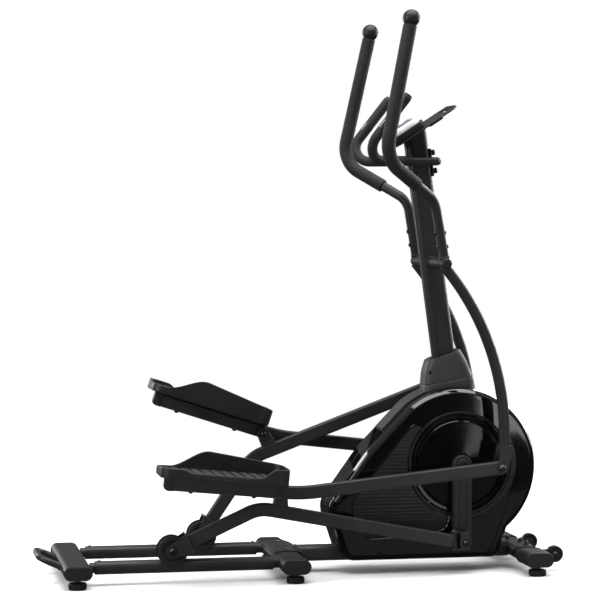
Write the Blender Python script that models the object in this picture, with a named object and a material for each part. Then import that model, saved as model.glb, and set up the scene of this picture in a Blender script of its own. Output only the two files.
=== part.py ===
"""Elliptical trainer: one named solid for each piece, at the pose with both crank arms vertical.

+X points to the front of the machine, +Z up. The origin is on the floor, under the middle of the
bounding box. The user's right-hand side is -Y.
"""

import math

import bmesh
import bpy
from mathutils import Matrix, Vector

# Driving dimensions, in metres.
RIGHT, LEFT = -1, 1
SIDES = {"right": RIGHT, "left": LEFT}
GAP = 0.0003  # between pieces that touch

REAR_X, MID_X, FRONT_X = -0.653, -0.043, 0.660  # the three floor bars
BAR_Z, BAR_WIDE, BAR_TALL, BAR_HALF = 0.047, 0.080, 0.040, 0.235
FOOT_Y, FOOT_RADIUS, STEM_HOLE = 0.205, 0.0255, 0.0055
LOOP_REACH, LOOP_HALF, LOOP_RISE, LOOP_RADIUS = -0.7475, 0.085, 0.024, 0.0095  # the carry handle
WHEEL_AT, WHEEL_IN, WHEEL_OUT = (0.733, 0.0495), 0.119, 0.141
WHEEL_RADIUS, WHEEL_PIN = 0.024, 0.0045

RAIL_Y, RAIL_Z, RAIL_RADIUS = 0.144, 0.0486, 0.019  # roller track, also the plane of the roller links
BEAM_Z, BEAM_WIDE, BEAM_TALL = 0.053, 0.060, 0.044

CRANK_X, CRANK_Z, CRANK_RADIUS = 0.461, 0.312, 0.220
ROLLER_Z, LINK_LENGTH = 0.092, 0.844
ROLLER_RADIUS, ROLLER_HALF = 0.0425, 0.023
LINK_TALL, LINK_WIDE = 0.038, 0.026
LINK_END, LINK_BEND = (-0.7985, 0.021), (-0.597, 0.1125)  # from the crank pin, with the link level
HINGE_X, HINGE_Z, HINGE_RADIUS, HINGE_HALF = -0.031, 0.005, 0.0095, 0.0225  # upright hinge at the bearing
PIVOT_PIN, HINGE_BOLT, ROLLER_AXLE = 0.0075, 0.005, 0.0065

ARM_Y = 0.172  # plane of the pedal arms and the swing arms
SWING_X, SWING_Z = 0.395, 0.8916
SWING_REACH = 0.607  # from the mast pivot to the clevis pin
ARM_PIVOT = (-0.534, 0.1555)  # on the link, from the crank pin
ARM_LENGTH = 0.6368  # from the link's pivot to the clevis pin
ARM_TALL, ARM_WIDE = 0.038, 0.028
ARM_FRONT, ARM_BEND, ARM_REAR = (0.634, 0.0605), (0.052, -0.0005), (-0.3141, 0.0344)  # from the arm's pivot
PEDAL_LOW, PEDAL_HIGH = -0.357, 0.006  # along the arm's rear run, from the arm's pivot
PEDAL_IN, PEDAL_OUT = 0.0985, 0.2545
HUB_OUT, HUB_RADIUS_OUT, BOSS_OUT = 0.1900, 0.0150, 0.030  # swing hub, and the mast's boss beside it
SWING_AXLE_RADIUS = 0.0090
SWING_REST = math.atan2(0.166, 0.5846)  # lean of the line from the mast pivot to the clevis pin

HOUSING_HALF, HOUSING_WALL = 0.088, 0.003
HOUSING_CENTRE, HOUSING_RADIUS = (0.459, 0.300), 0.231
DISC_RADIUS = 0.141
CRANK_ARM_IN, CRANK_ARM_OUT = 0.099, 0.127
CRANK_ARM_HALF = 0.0275
AXLE_RADIUS, SHELL_RADIUS, SHELL_HALF = 0.010, 0.025, 0.034  # crank axle and its bearing shell
PIN_RADIUS, PIN_END = 0.0052, 0.1545

MAST_FOOT_Z, MAST_TOP_Z = 0.505, 1.310
MAST_LEAN, MAST_LEAN_X, MAST_LEAN_Z = -0.1356, 0.432, 0.63  # dx/dz, and a point of the centre line
MAST_DEEP, MAST_WIDE = 0.068, 0.050

PULLEY_RADIUS, HUB_RADIUS, BELT_Y = 0.125, 0.018, 0.048
FLYWHEEL_X, FLYWHEEL_Z, FLYWHEEL_RADIUS = 0.232, 0.188, 0.095
MAGNET_PIVOT_ANGLE, MAGNET_PIVOT_RADIUS, MAGNET_PIN = 142, 0.108, 0.004  # angle in degrees, at the flywheel

HANDLE_RADIUS, GRIP_RADIUS, BALL_RADIUS = 0.014, 0.0194, 0.0245
STUB_RADIUS, STUB_TOP, HANDLE_FOOT = 0.0095, 0.960, 0.9000
HANDLE_BEND_LOW, HANDLE_BEND_HIGH = (0.364, ARM_Y, 1.071), (0.191, 0.302, 1.186)
HANDLE_TOP = (0.2665, 0.280, 1.556)
GRIP_START = 0.258  # along the handlebar, from its foot
FIXED_RADIUS, FIXED_GRIP_RADIUS, FIXED_Z, HOOK_Y = 0.012, 0.0145, 1.184, 0.120
FIXED_FRONT_X, FIXED_TIP, HOOK_RISE = 0.4085, (0.3002, 1.370), math.radians(52)
CONSOLE_AT, CONSOLE_TILT, CONSOLE_HALF = (0.276, 1.220), math.radians(33.5), 0.079
BUTTON_AT, BUTTON_Y, BUTTON_RADIUS, BUTTON_STEM = 0.0235, 0.018, 0.0055, 0.0032

ROUND = 18  # sides of a turned piece
TUBE = 12  # sides of a bent tube

UPRIGHT = Vector((0, 0, 1))


# Materials -----------------------------------------------------------------------------------

PAINT = ("powder_coat", (0.040, 0.041, 0.043), 0.48, 0.35)
DARK_PLASTIC = ("dark_plastic", (0.032, 0.033, 0.035), 0.50, 0.0)
COVER_PLASTIC = ("cover_plastic", (0.060, 0.061, 0.064), 0.52, 0.0)
GLOSS_PLASTIC = ("gloss_plastic", (0.004, 0.004, 0.005), 0.06, 0.0)
FOAM = ("foam", (0.048, 0.048, 0.050), 0.80, 0.0)
RUBBER = ("rubber", (0.022, 0.022, 0.024), 0.65, 0.0)
STEEL = ("steel", (0.45, 0.45, 0.46), 0.30, 1.0)
BRIGHT_PLASTIC = ("bezel_plastic", (0.80, 0.80, 0.82), 0.30, 0.0)
SCREEN = ("screen", (0.42, 0.40, 0.47), 0.10, 0.0)


def finish_of(kind):
    """The material of this kind, made the first time that it is asked for."""
    name, colour, roughness, metallic = kind
    material = bpy.data.materials.get(name)
    if material is None:
        material = bpy.data.materials.new(name)
        material.use_nodes = True
        shader = material.node_tree.nodes["Principled BSDF"]
        shader.inputs["Base Color"].default_value = (*colour, 1.0)
        shader.inputs["Roughness"].default_value = roughness
        shader.inputs["Metallic"].default_value = metallic
    return material


# Mesh helpers --------------------------------------------------------------------------------


def clear_scene():
    for obj in list(bpy.data.objects):
        bpy.data.objects.remove(obj)


def add_object(name, points, faces, kind=None):
    """A mesh object with its normals facing out. Without a material it is a hidden helper."""
    mesh = bpy.data.meshes.new(name)
    mesh.from_pydata([tuple(point) for point in points], [], faces)
    shape = bmesh.new()
    shape.from_mesh(mesh)
    bmesh.ops.recalc_face_normals(shape, faces=shape.faces)
    shape.to_mesh(mesh)
    shape.free()
    mesh.shade_smooth()
    mesh.set_sharp_from_angle(angle=math.radians(35))
    obj = bpy.data.objects.new(name, mesh)
    bpy.context.scene.collection.objects.link(obj)
    if kind:
        mesh.materials.append(finish_of(kind))
    else:
        obj.hide_render = True
        obj.display_type = "WIRE"
    return obj


def boolean(obj, operation, others):
    for other in others:
        modifier = obj.modifiers.new(operation.lower(), "BOOLEAN")
        modifier.operation = operation
        modifier.solver = "EXACT"
        modifier.object = other


def join(obj, *others):
    boolean(obj, "UNION", others)


def cut(obj, *others):
    boolean(obj, "DIFFERENCE", others)


def rest_on(obj, pivot):
    """Moves the object's origin to a point of the world, with its mesh staying where it is."""
    obj.data.transform(Matrix.Translation(-Vector(pivot)))
    obj.location = pivot
    return obj


def empty(name, location, turn_y=0.0):
    """An empty to parent pieces to, turned about the world's Y axis."""
    obj = bpy.data.objects.new(name, None)
    bpy.context.scene.collection.objects.link(obj)
    obj.location = location
    obj.rotation_euler = (0.0, turn_y, 0.0)
    return obj


def hang(parent, *pieces):
    """Parents pieces, and the helpers of their Booleans, to an empty."""
    for piece in pieces:
        piece.parent = parent
        hang(parent, *[modifier.object for modifier in piece.modifiers])


def faces_of_rings(rings, size, closed):
    """Quads between neighbouring rings of `size` points each, and caps unless the stack is closed."""
    faces = []
    for i in range(rings if closed else rings - 1):
        low, high = i * size, (i + 1) % rings * size
        for j in range(size):
            k = (j + 1) % size
            faces.append((low + j, low + k, high + k, high + j))
    if not closed:
        faces.append(tuple(range(size)))
        faces.append(tuple(range((rings - 1) * size, rings * size)))
    return faces


def loft(name, rings, kind=None, closed=False):
    """Skins a list of rings of points, all of one length."""
    points = [point for ring in rings for point in ring]
    return add_object(name, points, faces_of_rings(len(rings), len(rings[0]), closed), kind)


def turned(name, profile, centre, kind=None, axis="Y", sides=ROUND):
    """Turns (radius, along) points round an axis through `centre`. A profile that starts and ends
    on the axis makes a solid, and any other one makes a ring."""
    solid = profile[0][0] == 0.0
    body = profile[1:-1] if solid else profile
    rings = []
    for radius, along in body:
        ring = []
        for step in range(sides):
            angle = 2.0 * math.pi * (step + 0.5) / sides
            a, b = radius * math.cos(angle), radius * math.sin(angle)
            offset = {"X": (along, a, b), "Y": (a, along, b), "Z": (a, b, along)}[axis]
            ring.append(Vector(centre) + Vector(offset))
        rings.append(ring)
    return loft(name, rings, kind, closed=not solid)


def rod(name, radius, start, end, at, kind=None, axis="Y", sides=ROUND):
    """A plain round bar from `start` to `end` along an axis. `at` gives the other two coordinates."""
    centre = {"X": (0, *at), "Y": (at[0], 0, at[1]), "Z": (*at, 0)}[axis]
    profile = [(0.0, start), (radius, start), (radius, end), (0.0, end)]
    return turned(name, profile, centre, kind, axis, sides)


def prism(name, outline, y_from, y_to, kind=None):
    """Extrudes an (x, z) outline along Y."""
    rings = [[(x, y, z) for x, z in outline] for y in (y_from, y_to)]
    return loft(name, rings, kind)


def block(name, low, high, kind=None):
    outline = [(low[0], low[2]), (high[0], low[2]), (high[0], high[2]), (low[0], high[2])]
    return prism(name, outline, low[1], high[1], kind)


def rounded(wide, tall, radius, steps=3):
    """The outline of a rectangle with round corners, about its centre."""
    points = []
    for corner, (sx, sy) in enumerate(((1, 1), (-1, 1), (-1, -1), (1, -1))):
        cx, cy = sx * (wide / 2 - radius), sy * (tall / 2 - radius)
        for step in range(steps + 1):
            angle = math.radians(90) * (corner + step / steps)
            points.append((cx + radius * math.cos(angle), cy + radius * math.sin(angle)))
    return points


def circle(radius, sides=TUBE):
    """Points round a circle."""
    angles = [2.0 * math.pi * (step + 0.5) / sides for step in range(sides)]
    return [(radius * math.cos(angle), radius * math.sin(angle)) for angle in angles]


def bent(points, radii, step=math.radians(11)):
    """A path through corner points, with an arc of each inner corner's radius in place of it."""
    points = [Vector(point) for point in points]
    path = [points[0]]
    for before, corner, after, radius in zip(points, points[1:], points[2:], radii):
        back, ahead = (before - corner).normalized(), (after - corner).normalized()
        turn = math.pi - back.angle(ahead)
        reach = radius * math.tan(turn / 2)
        middle = corner + (back + ahead).normalized() * radius / math.cos(turn / 2)
        start, end = corner + back * reach - middle, corner + ahead * reach - middle
        count = max(2, math.ceil(turn / step))
        for i in range(count + 1):
            share = i / count
            first = math.sin((1 - share) * turn) / math.sin(turn)
            second = math.sin(share * turn) / math.sin(turn)
            path.append(middle + start * first + end * second)
    path.append(points[-1])
    return path


def swept_rings(path, section, side=Vector((0, 1, 0)), closed=False):
    """Rings of a section carried along a path without twisting. Its first axis starts close to `side`."""
    rings = []
    last = len(path) - 1
    across, came = side, None
    for i, point in enumerate(path):
        before = path[i - 1] if i or closed else path[0]
        after = path[(i + 1) % len(path)] if i < last or closed else path[last]
        ahead = (Vector(after) - Vector(before)).normalized()
        if came:
            across = came.rotation_difference(ahead) @ across
        across = (across - ahead * across.dot(ahead)).normalized()
        up = ahead.cross(across)
        rings.append([Vector(point) + across * a + up * b for a, b in section])
        came = ahead
    return rings


def swept(name, path, section, kind=None, closed=False):
    return loft(name, swept_rings(path, section, closed=closed), kind, closed)


def sleeve(name, path, outer, inner, kind, sides=TUBE):
    """A tube with a bore, along a path."""
    outside = swept_rings(path, circle(outer, sides))
    inside = swept_rings(path, circle(inner, sides))
    return loft(name, outside + inside[::-1], kind, closed=True)


def bore_for(radius, sides):
    """The radius of a bore with flat sides that a round bar of the same number of sides turns in."""
    return (radius + GAP / 2) / math.cos(math.pi / sides)


def moved(outline, dx, dz):
    return [(x + dx, z + dz) for x, z in outline]


def rotated(point, angle):
    """An (x, z) vector turned by an angle from +X towards +Z."""
    x, z = point
    return (x * math.cos(angle) - z * math.sin(angle), x * math.sin(angle) + z * math.cos(angle))


# Where the linkage stands --------------------------------------------------------------------


def crank_pin(side):
    """(x, z) of the crank pin: the right one is at the bottom and the left one at the top."""
    return (CRANK_X, CRANK_Z + side * CRANK_RADIUS)


def link_slope(side):
    """How far the roller link rises from its roller to its crank pin, as an angle."""
    return math.asin((crank_pin(side)[1] - ROLLER_Z) / LINK_LENGTH)


def on_link(side, local):
    """(x, z) of a point that is given from the crank pin, with the link lying level."""
    dx, dz = rotated(local, link_slope(side))
    pin = crank_pin(side)
    return (pin[0] + dx, pin[1] + dz)


def clevis_pin(side):
    """(x, z) where the pedal arm meets the swing arm: the crossing of their two circles."""
    pivot = Vector(on_link(side, ARM_PIVOT))
    mast = Vector((SWING_X, SWING_Z))
    apart = mast - pivot
    along = (ARM_LENGTH**2 - SWING_REACH**2 + apart.length_squared) / (2 * apart.length)
    off = math.sqrt(ARM_LENGTH**2 - along**2)
    ahead = apart.normalized()
    return tuple(pivot + ahead * along + Vector((ahead.y, -ahead.x)) * off)


def mast_x(z):
    return MAST_LEAN_X + MAST_LEAN * (z - MAST_LEAN_Z)


# Floor bars, rails, feet and wheels ----------------------------------------------------------


def oval(wide, tall):
    return rounded(wide, tall, tall / 2 - 0.0005, 6)


def floor_bar(name, x, wide, tall, half):
    """A flat oval bar across the machine, with a blind hole for each foot's stem."""
    bar = prism(name, moved(oval(wide, tall), x, BAR_Z), -half, half, PAINT)
    for side in SIDES.values():
        at = (x, side * FOOT_Y)
        cut(bar, rod("stem_hole", STEM_HOLE, 0.0, BAR_Z + 0.008, at, axis="Z", sides=12))
    return rest_on(bar, (x, 0, BAR_Z))


def rear_bar():
    floor_bar("rear_stabilizer", REAR_X, BAR_WIDE, BAR_TALL, BAR_HALF)


def carry_handle():
    """The bent tube behind the rear bar, for lifting the machine on its wheels. It rises to the rear."""
    start, high = REAR_X - BAR_WIDE / 2 - 2 * GAP, BAR_Z + LOOP_RISE
    corners = [(start, -LOOP_HALF, BAR_Z), (LOOP_REACH, -LOOP_HALF, high)]
    corners += [(LOOP_REACH, LOOP_HALF, high), (start, LOOP_HALF, BAR_Z)]
    path = bent(corners, [0.035, 0.035], math.radians(20))
    path[0].x += LOOP_RADIUS * LOOP_RISE / (start - LOOP_REACH)
    path[-1].x = path[0].x
    loop = loft("carry_handle", swept_rings(path, circle(LOOP_RADIUS), UPRIGHT), PAINT)
    cut(loop, block("carry_handle_trim", (start, -0.2, 0.0), (start + 0.05, 0.2, 0.1)))
    rest_on(loop, (start, 0, BAR_Z))


def mid_bar():
    floor_bar("mid_stabilizer", MID_X, BAR_WIDE, BAR_TALL, BAR_HALF)


def front_bar():
    """The front bar with the two arms that carry the transport wheels."""
    bar = floor_bar("front_stabilizer", FRONT_X, BAR_WIDE - 0.006, BAR_TALL - 0.006, BAR_HALF - 0.006)
    for side in SIDES.values():
        join(bar, *wheel_arm(side))


def wheel_arm(side):
    """A plate from the front bar to the wheel, and the wheel's bolt."""
    x, z = WHEEL_AT
    outline = [(FRONT_X, BAR_Z - 0.011), (x, z - 0.011), (x + 0.009, z), (x, z + 0.011)]
    outline.append((FRONT_X, BAR_Z + 0.014))
    plate = prism("wheel_plate", outline, side * 0.112, side * 0.118)
    head = [(0, 0.114), (WHEEL_PIN, 0.114), (WHEEL_PIN, WHEEL_OUT + GAP), (0.008, WHEEL_OUT + GAP)]
    head += [(0.008, WHEEL_OUT + 0.003), (0.005, WHEEL_OUT + 0.005), (0, WHEEL_OUT + 0.005)]
    profile = [(radius, side * along) for radius, along in head]
    return plate, turned("wheel_bolt", profile, (x, 0, z), sides=12)


def transport_wheels():
    inner = bore_for(WHEEL_PIN, 12)
    for name, side in SIDES.items():
        outer = WHEEL_RADIUS
        profile = [(inner, WHEEL_IN), (outer - 0.003, WHEEL_IN), (outer, WHEEL_IN + 0.003)]
        profile += [(outer, WHEEL_OUT - 0.003), (outer - 0.003, WHEEL_OUT), (inner, WHEEL_OUT)]
        profile = [(radius, side * along) for radius, along in profile]
        wheel = turned(f"transport_wheel_{name}", profile, (WHEEL_AT[0], 0, WHEEL_AT[1]), RUBBER)
        rest_on(wheel, (WHEEL_AT[0], side * (WHEEL_IN + WHEEL_OUT) / 2, WHEEL_AT[1]))


def front_caps():
    """Plastic sleeves over the ends of the front bar."""
    start, floor = 0.128, 0.2305
    widths = ((BAR_WIDE + 0.002, start), (BAR_WIDE + 0.002, BAR_HALF - 0.004), (BAR_WIDE - 0.004, BAR_HALF))
    for name, side in SIDES.items():
        rings = []
        for wide, y in widths:
            outline = moved(oval(wide, wide - 0.040), FRONT_X, BAR_Z)
            rings.append([(x, side * y, z) for x, z in outline])
        cap = loft(f"front_cap_{name}", rings, DARK_PLASTIC)
        hollow = moved(oval(BAR_WIDE - 0.005, BAR_TALL - 0.005), FRONT_X, BAR_Z)
        cut(cap, prism("cap_hollow", hollow, side * (start - 0.01), side * floor))
        at = (FRONT_X, side * FOOT_Y)
        cut(cap, rod("cap_stem_hole", STEM_HOLE, 0.0, BAR_Z, at, axis="Z", sides=12))
        rest_on(cap, (FRONT_X, side * BAR_HALF, BAR_Z))


def feet():
    """Six round levelling feet on threaded stems."""
    radius, stem, top = FOOT_RADIUS, 0.0048, BAR_Z + 0.006
    profile = [(0, 0), (radius - 0.003, 0), (radius, 0.003), (radius, 0.015), (radius - 0.003, 0.018)]
    profile += [(0.011, 0.018), (0.011, 0.0235), (stem, 0.0235), (stem, top), (0, top)]
    for place, x in (("rear", REAR_X), ("mid", MID_X), ("front", FRONT_X)):
        for name, side in SIDES.items():
            foot = turned(f"foot_{place}_{name}", profile, (x, side * FOOT_Y, 0), RUBBER, "Z", 14)
            rest_on(foot, (x, side * FOOT_Y, 0))


def rails():
    """The two round rails that the rollers run on, necked down at both ends."""
    start = REAR_X + BAR_WIDE / 2 + 2 * GAP
    end = MID_X - BAR_WIDE / 2 - 2 * GAP
    neck, step = RAIL_RADIUS - 0.004, 0.014
    profile = [(0, start), (neck, start), (neck, start + step), (RAIL_RADIUS, start + step + 0.002)]
    profile += [(RAIL_RADIUS, end - step - 0.002), (neck, end - step), (neck, end), (0, end)]
    for name, side in SIDES.items():
        rail = turned(f"rail_{name}", profile, (0, side * RAIL_Y, RAIL_Z), PAINT, "X")
        rest_on(rail, (start, side * RAIL_Y, RAIL_Z))


# Main frame, mast and covers -----------------------------------------------------------------


def main_frame():
    """The beam between the mid and front bars, the post inside the housing and the crank's bearing shell."""
    start = MID_X + BAR_WIDE / 2 + 2 * GAP
    end = FRONT_X - (BAR_WIDE - 0.006) / 2 - 2 * GAP
    section = rounded(BEAM_WIDE, BEAM_TALL, 0.014)
    beam = swept("main_frame", [Vector((start, 0, BEAM_Z)), Vector((end, 0, BEAM_Z))], section, PAINT)
    top = MAST_FOOT_Z - GAP
    post_path = [Vector((mast_x(BEAM_Z), 0, BEAM_Z)), Vector((mast_x(top), 0, top))]
    post = swept("post", post_path, rounded(0.040, 0.056, 0.010))
    shell = rod("bearing_shell", SHELL_RADIUS, -SHELL_HALF, SHELL_HALF, (CRANK_X, CRANK_Z))
    bore = rod("bearing_bore", bore_for(AXLE_RADIUS, ROUND), -0.06, 0.06, (CRANK_X, CRANK_Z))
    join(beam, post, shell)
    cut(beam, bore)
    rest_on(beam, (start, 0, BEAM_Z))


def mast():
    """The leaning oval column, with a boss on each side for the swing axle."""
    path = [Vector((mast_x(z), 0, z)) for z in (MAST_FOOT_Z, MAST_TOP_Z)]
    column = swept("mast", path, rounded(MAST_WIDE, MAST_DEEP, 0.022, 4), PAINT)
    join(column, rod("mast_boss", 0.018, -BOSS_OUT, BOSS_OUT, (SWING_X, SWING_Z)))
    cut(column, rod("mast_bore", bore_for(SWING_AXLE_RADIUS, ROUND), -0.05, 0.05, (SWING_X, SWING_Z)))
    above_tray = block("mast_trim", (-0.2, -0.1, -GAP), (0.4, 0.1, 0.3))
    above_tray.location = (CONSOLE_AT[0], 0, CONSOLE_AT[1])
    above_tray.rotation_euler = (0.0, -CONSOLE_TILT, 0.0)
    cut(column, above_tray)
    rest_on(column, (mast_x(MAST_FOOT_Z), 0, MAST_FOOT_Z))


def column_ring(centre_x, z, wide, deep, radius, slope=0.0):
    """A level ring round the mast, tipped by a slope along X. `deep` is its size along X."""
    points = []
    for y, x in rounded(wide, deep, radius, 4):
        points.append((centre_x + x, y, z + slope * x))
    return points


def mast_cover():
    """The tapered sleeve over the foot of the mast."""
    levels = [(0.442, 0.549, 0.092, 0.146, 0.16), (0.434, 0.590, 0.090, 0.124, 0.28)]
    levels.append((0.4285, 0.622, 0.084, 0.098, 0.36))
    outside, inside = [], []
    for centre, z, wide, deep, slope in levels:
        outside.append(column_ring(centre, z, wide, deep, 0.026, slope))
        inside.append(column_ring(centre, z, wide - 0.006, deep - 0.006, 0.023, slope))
    inside[-1] = column_ring(0.4325, 0.6215, MAST_WIDE + 0.004, MAST_DEEP + 0.006, 0.022, 0.36)
    cover = loft("mast_cover", outside + inside[::-1], COVER_PLASTIC, closed=True)
    rest_on(cover, (mast_x(0.549), 0, 0.549))


def mast_collar():
    """The lower collar of the mast cover, and its tail down the housing's rear seam."""
    rings = [column_ring(0.443, 0.485, 0.098, 0.156, 0.028, 0.10)]
    rings.append(column_ring(0.443, 0.5475, 0.093, 0.148, 0.027, 0.16))
    collar = loft("mast_collar", rings, COVER_PLASTIC)
    tail = [point for point in with_points(housing_outline(0.007), 0.03) if seam_covered(*point)]
    foot = [point for point in with_points(housing_outline(-0.006), 0.03) if seam_covered(*point)]
    join(collar, prism("collar_tail", tail + foot[::-1], -0.043, 0.043))
    cut(collar, prism("collar_seat", housing_outline(0.0005), -0.1, 0.1))
    cut(collar, block("collar_way", (0.389, -0.028, 0.40), (0.499, 0.028, 0.60)))
    rest_on(collar, (mast_x(0.541), 0, 0.541))


def seam_covered(x, z):
    """Whether the collar's tail covers the housing's seam at this point of its outline."""
    return 0.236 < x < 0.500 and z > 0.36


def arc(centre, radius, start, end, steps):
    """(x, z) points of an arc, with angles in degrees from +X towards +Z."""
    points = []
    for step in range(steps + 1):
        angle = math.radians(start + (end - start) * step / steps)
        points.append((centre[0] + radius * math.cos(angle), centre[1] + radius * math.sin(angle)))
    return points


def housing_outline(grow):
    """The housing's side outline: round at the front, and drawn out to a nose at the rear."""
    top = arc(HOUSING_CENTRE, HOUSING_RADIUS, -50, 130, 18)
    corners = [top[-1], (0.190, 0.352), (0.073, 0.190), (0.125, 0.036), (0.576, 0.036), top[0]]
    path = bent([Vector((x, 0, z)) for x, z in corners], [0.30, 0.060, 0.040, 0.026], math.radians(16))
    outline = top + [(point.x, point.z) for point in path[1:-1]]
    return offset(outline, grow)


def offset(outline, distance):
    """Moves each point of an outline out along its own normal."""
    moved_points = []
    count = len(outline)
    for i, (x, z) in enumerate(outline):
        before, after = outline[i - 1], outline[(i + 1) % count]
        along = Vector((after[0] - before[0], after[1] - before[1])).normalized()
        moved_points.append((x + along.y * distance, z - along.x * distance))
    return moved_points


def housings():
    """The two halves of the drive's casing, hollow, with a round opening for the crank disc."""
    outline = housing_outline(0.0)
    half, wall = HOUSING_HALF, HOUSING_WALL
    outer = ((GAP / 2, 0.0), (half - 0.022, 0.0), (half - 0.008, 0.005), (half, 0.015))
    inner = ((-0.010, wall), (half - 0.022, wall), (half - 0.010, 0.008), (half - wall, 0.017))
    for name, side in SIDES.items():
        shell = loft(f"housing_{name}", housing_rings(outline, outer, side), GLOSS_PLASTIC)
        cut(shell, loft("housing_hollow", housing_rings(outline, inner, side)))
        cut(shell, rod("disc_way", DISC_RADIUS + 0.0025, -0.2, 0.2, (CRANK_X, CRANK_Z), sides=36))
        cut(shell, beam_way(), mast_way())
        rest_on(shell, (CRANK_X, side * half, CRANK_Z))


def housing_rings(outline, levels, side):
    """The outline at each (y, inset) level, on one side of the machine."""
    return [[(x, side * y, z) for x, z in offset(outline, -inset)] for y, inset in levels]


def beam_way():
    """The space that the beam takes through the foot of the housing."""
    half, tall = BEAM_WIDE / 2 + 0.001, BEAM_Z + BEAM_TALL / 2 + 0.001
    return block("beam_way", (0.02, -half, 0.0), (0.70, half, tall))


def mast_way():
    """The opening at the housing's top, under the mast's collar."""
    return block("mast_way", (0.400, -0.030, 0.44), (0.497, 0.030, 0.60))


# Crank, pulley, flywheel and brake -----------------------------------------------------------


def crank_axle():
    half = CRANK_ARM_IN - GAP
    axle = rod("crank_axle", AXLE_RADIUS, -half, half, (CRANK_X, CRANK_Z), STEEL)
    return rest_on(axle, (CRANK_X, 0, CRANK_Z))


def drive_pulley():
    inner, rim = bore_for(AXLE_RADIUS, ROUND) + 0.0001, PULLEY_RADIUS
    low, high = BELT_Y - 0.008, BELT_Y + 0.008
    profile = [(inner, low), (0.030, low), (0.034, BELT_Y - 0.003), (rim - 0.012, BELT_Y - 0.003)]
    profile += [(rim - 0.008, low), (rim, low), (rim, high), (rim - 0.008, high)]
    profile.append((rim - 0.012, BELT_Y + 0.003))
    profile += [(0.034, BELT_Y + 0.003), (0.030, high), (inner, high)]
    pulley = turned("drive_pulley", profile, (CRANK_X, 0, CRANK_Z), DARK_PLASTIC, sides=36)
    cut(pulley, *[pulley_hole(72 * step) for step in range(5)])
    return rest_on(pulley, (CRANK_X, BELT_Y, CRANK_Z))


def pulley_hole(angle):
    x, z = arc((CRANK_X, CRANK_Z), 0.074, angle, angle, 1)[0]
    return rod("pulley_hole", 0.026, BELT_Y - 0.02, BELT_Y + 0.02, (x, z), sides=10)


def crank_discs():
    """The dished round covers that turn with the cranks, in the housing's openings."""
    inner, rim, half = bore_for(AXLE_RADIUS, ROUND), DISC_RADIUS, HOUSING_HALF
    profile = [(inner, half + 0.002), (0.122, half - 0.001), (0.127, half - 0.006)]
    profile += [(rim - 0.003, half - 0.001), (rim, half - 0.003), (rim, half - 0.009)]
    profile += [(0.124, half - 0.011), (0.118, half - 0.006), (inner, half - 0.003)]
    for name, side in SIDES.items():
        points = [(radius, side * along) for radius, along in profile]
        disc = turned(f"crank_disc_{name}", points, (CRANK_X, 0, CRANK_Z), GLOSS_PLASTIC, sides=36)
        rest_on(disc, (CRANK_X, side * half, CRANK_Z))


def crank_arms():
    """The crank arms, each with a raised boss on the axle and a pin at its free end."""
    inner, outer = CRANK_ARM_IN, CRANK_ARM_OUT
    for name, side in SIDES.items():
        pin, axle = crank_pin(side), (CRANK_X, CRANK_Z)
        outline = stadium(pin, axle, CRANK_ARM_HALF, 10)
        rings = []
        for grow, y in ((-0.003, inner), (0.0, inner + 0.003), (0.0, outer - 0.004), (-0.004, outer)):
            rings.append([(x, side * y, z) for x, z in offset(outline, grow)])
        arm = loft(f"crank_arm_{name}", rings, PAINT)
        slot_ends = [(CRANK_X, CRANK_Z + side * reach) for reach in (CRANK_RADIUS - 0.045, 0.050)]
        recess = stadium(*slot_ends, 0.0125, 8)
        cut(arm, prism("crank_recess", recess, side * (outer - 0.0022), side * (outer + 0.01)))
        boss = [(0, outer - 0.006), (0.0175, outer - 0.006), (0.0175, outer + 0.0012)]
        boss += [(0.016, outer + 0.0028), (0, outer + 0.0028)]
        join(arm, turned("crank_boss", [(radius, side * y) for radius, y in boss], (CRANK_X, 0, CRANK_Z)))
        join(arm, rod("crank_pin", PIN_RADIUS, side * (outer - 0.01), side * PIN_END, pin, sides=16))
        rest_on(arm, (CRANK_X, side * inner, CRANK_Z))


def stadium(one, other, radius, steps):
    """The (x, z) outline, anticlockwise, of a bar with round ends between two points one above the other."""
    low, high = sorted((one, other), key=lambda point: point[1])
    return arc(low, radius, 180, 360, steps) + arc(high, radius, 0, 180, steps)


def flywheel():
    """The flywheel with its shaft and the small pulley that the belt drives."""
    radius = FLYWHEEL_RADIUS
    profile = [(0, -0.071), (0.006, -0.071), (0.006, -0.024), (0.020, -0.024), (0.020, -0.008)]
    profile += [(radius - 0.020, -0.008), (radius - 0.018, -0.018), (radius, -0.018), (radius, 0.018)]
    profile += [(radius - 0.018, 0.018), (radius - 0.020, 0.008), (0.020, 0.008), (HUB_RADIUS + 0.003, 0.038)]
    profile += [(HUB_RADIUS, 0.0385), (HUB_RADIUS, 0.0575), (0.006, 0.0575), (0.006, 0.071), (0, 0.071)]
    wheel = turned("flywheel", profile, (FLYWHEEL_X, 0, FLYWHEEL_Z), STEEL, sides=28)
    rest_on(wheel, (FLYWHEEL_X, 0, FLYWHEEL_Z))


def magnet_pivot():
    return arc((FLYWHEEL_X, FLYWHEEL_Z), MAGNET_PIVOT_RADIUS, MAGNET_PIVOT_ANGLE, MAGNET_PIVOT_ANGLE, 1)[0]


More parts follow.
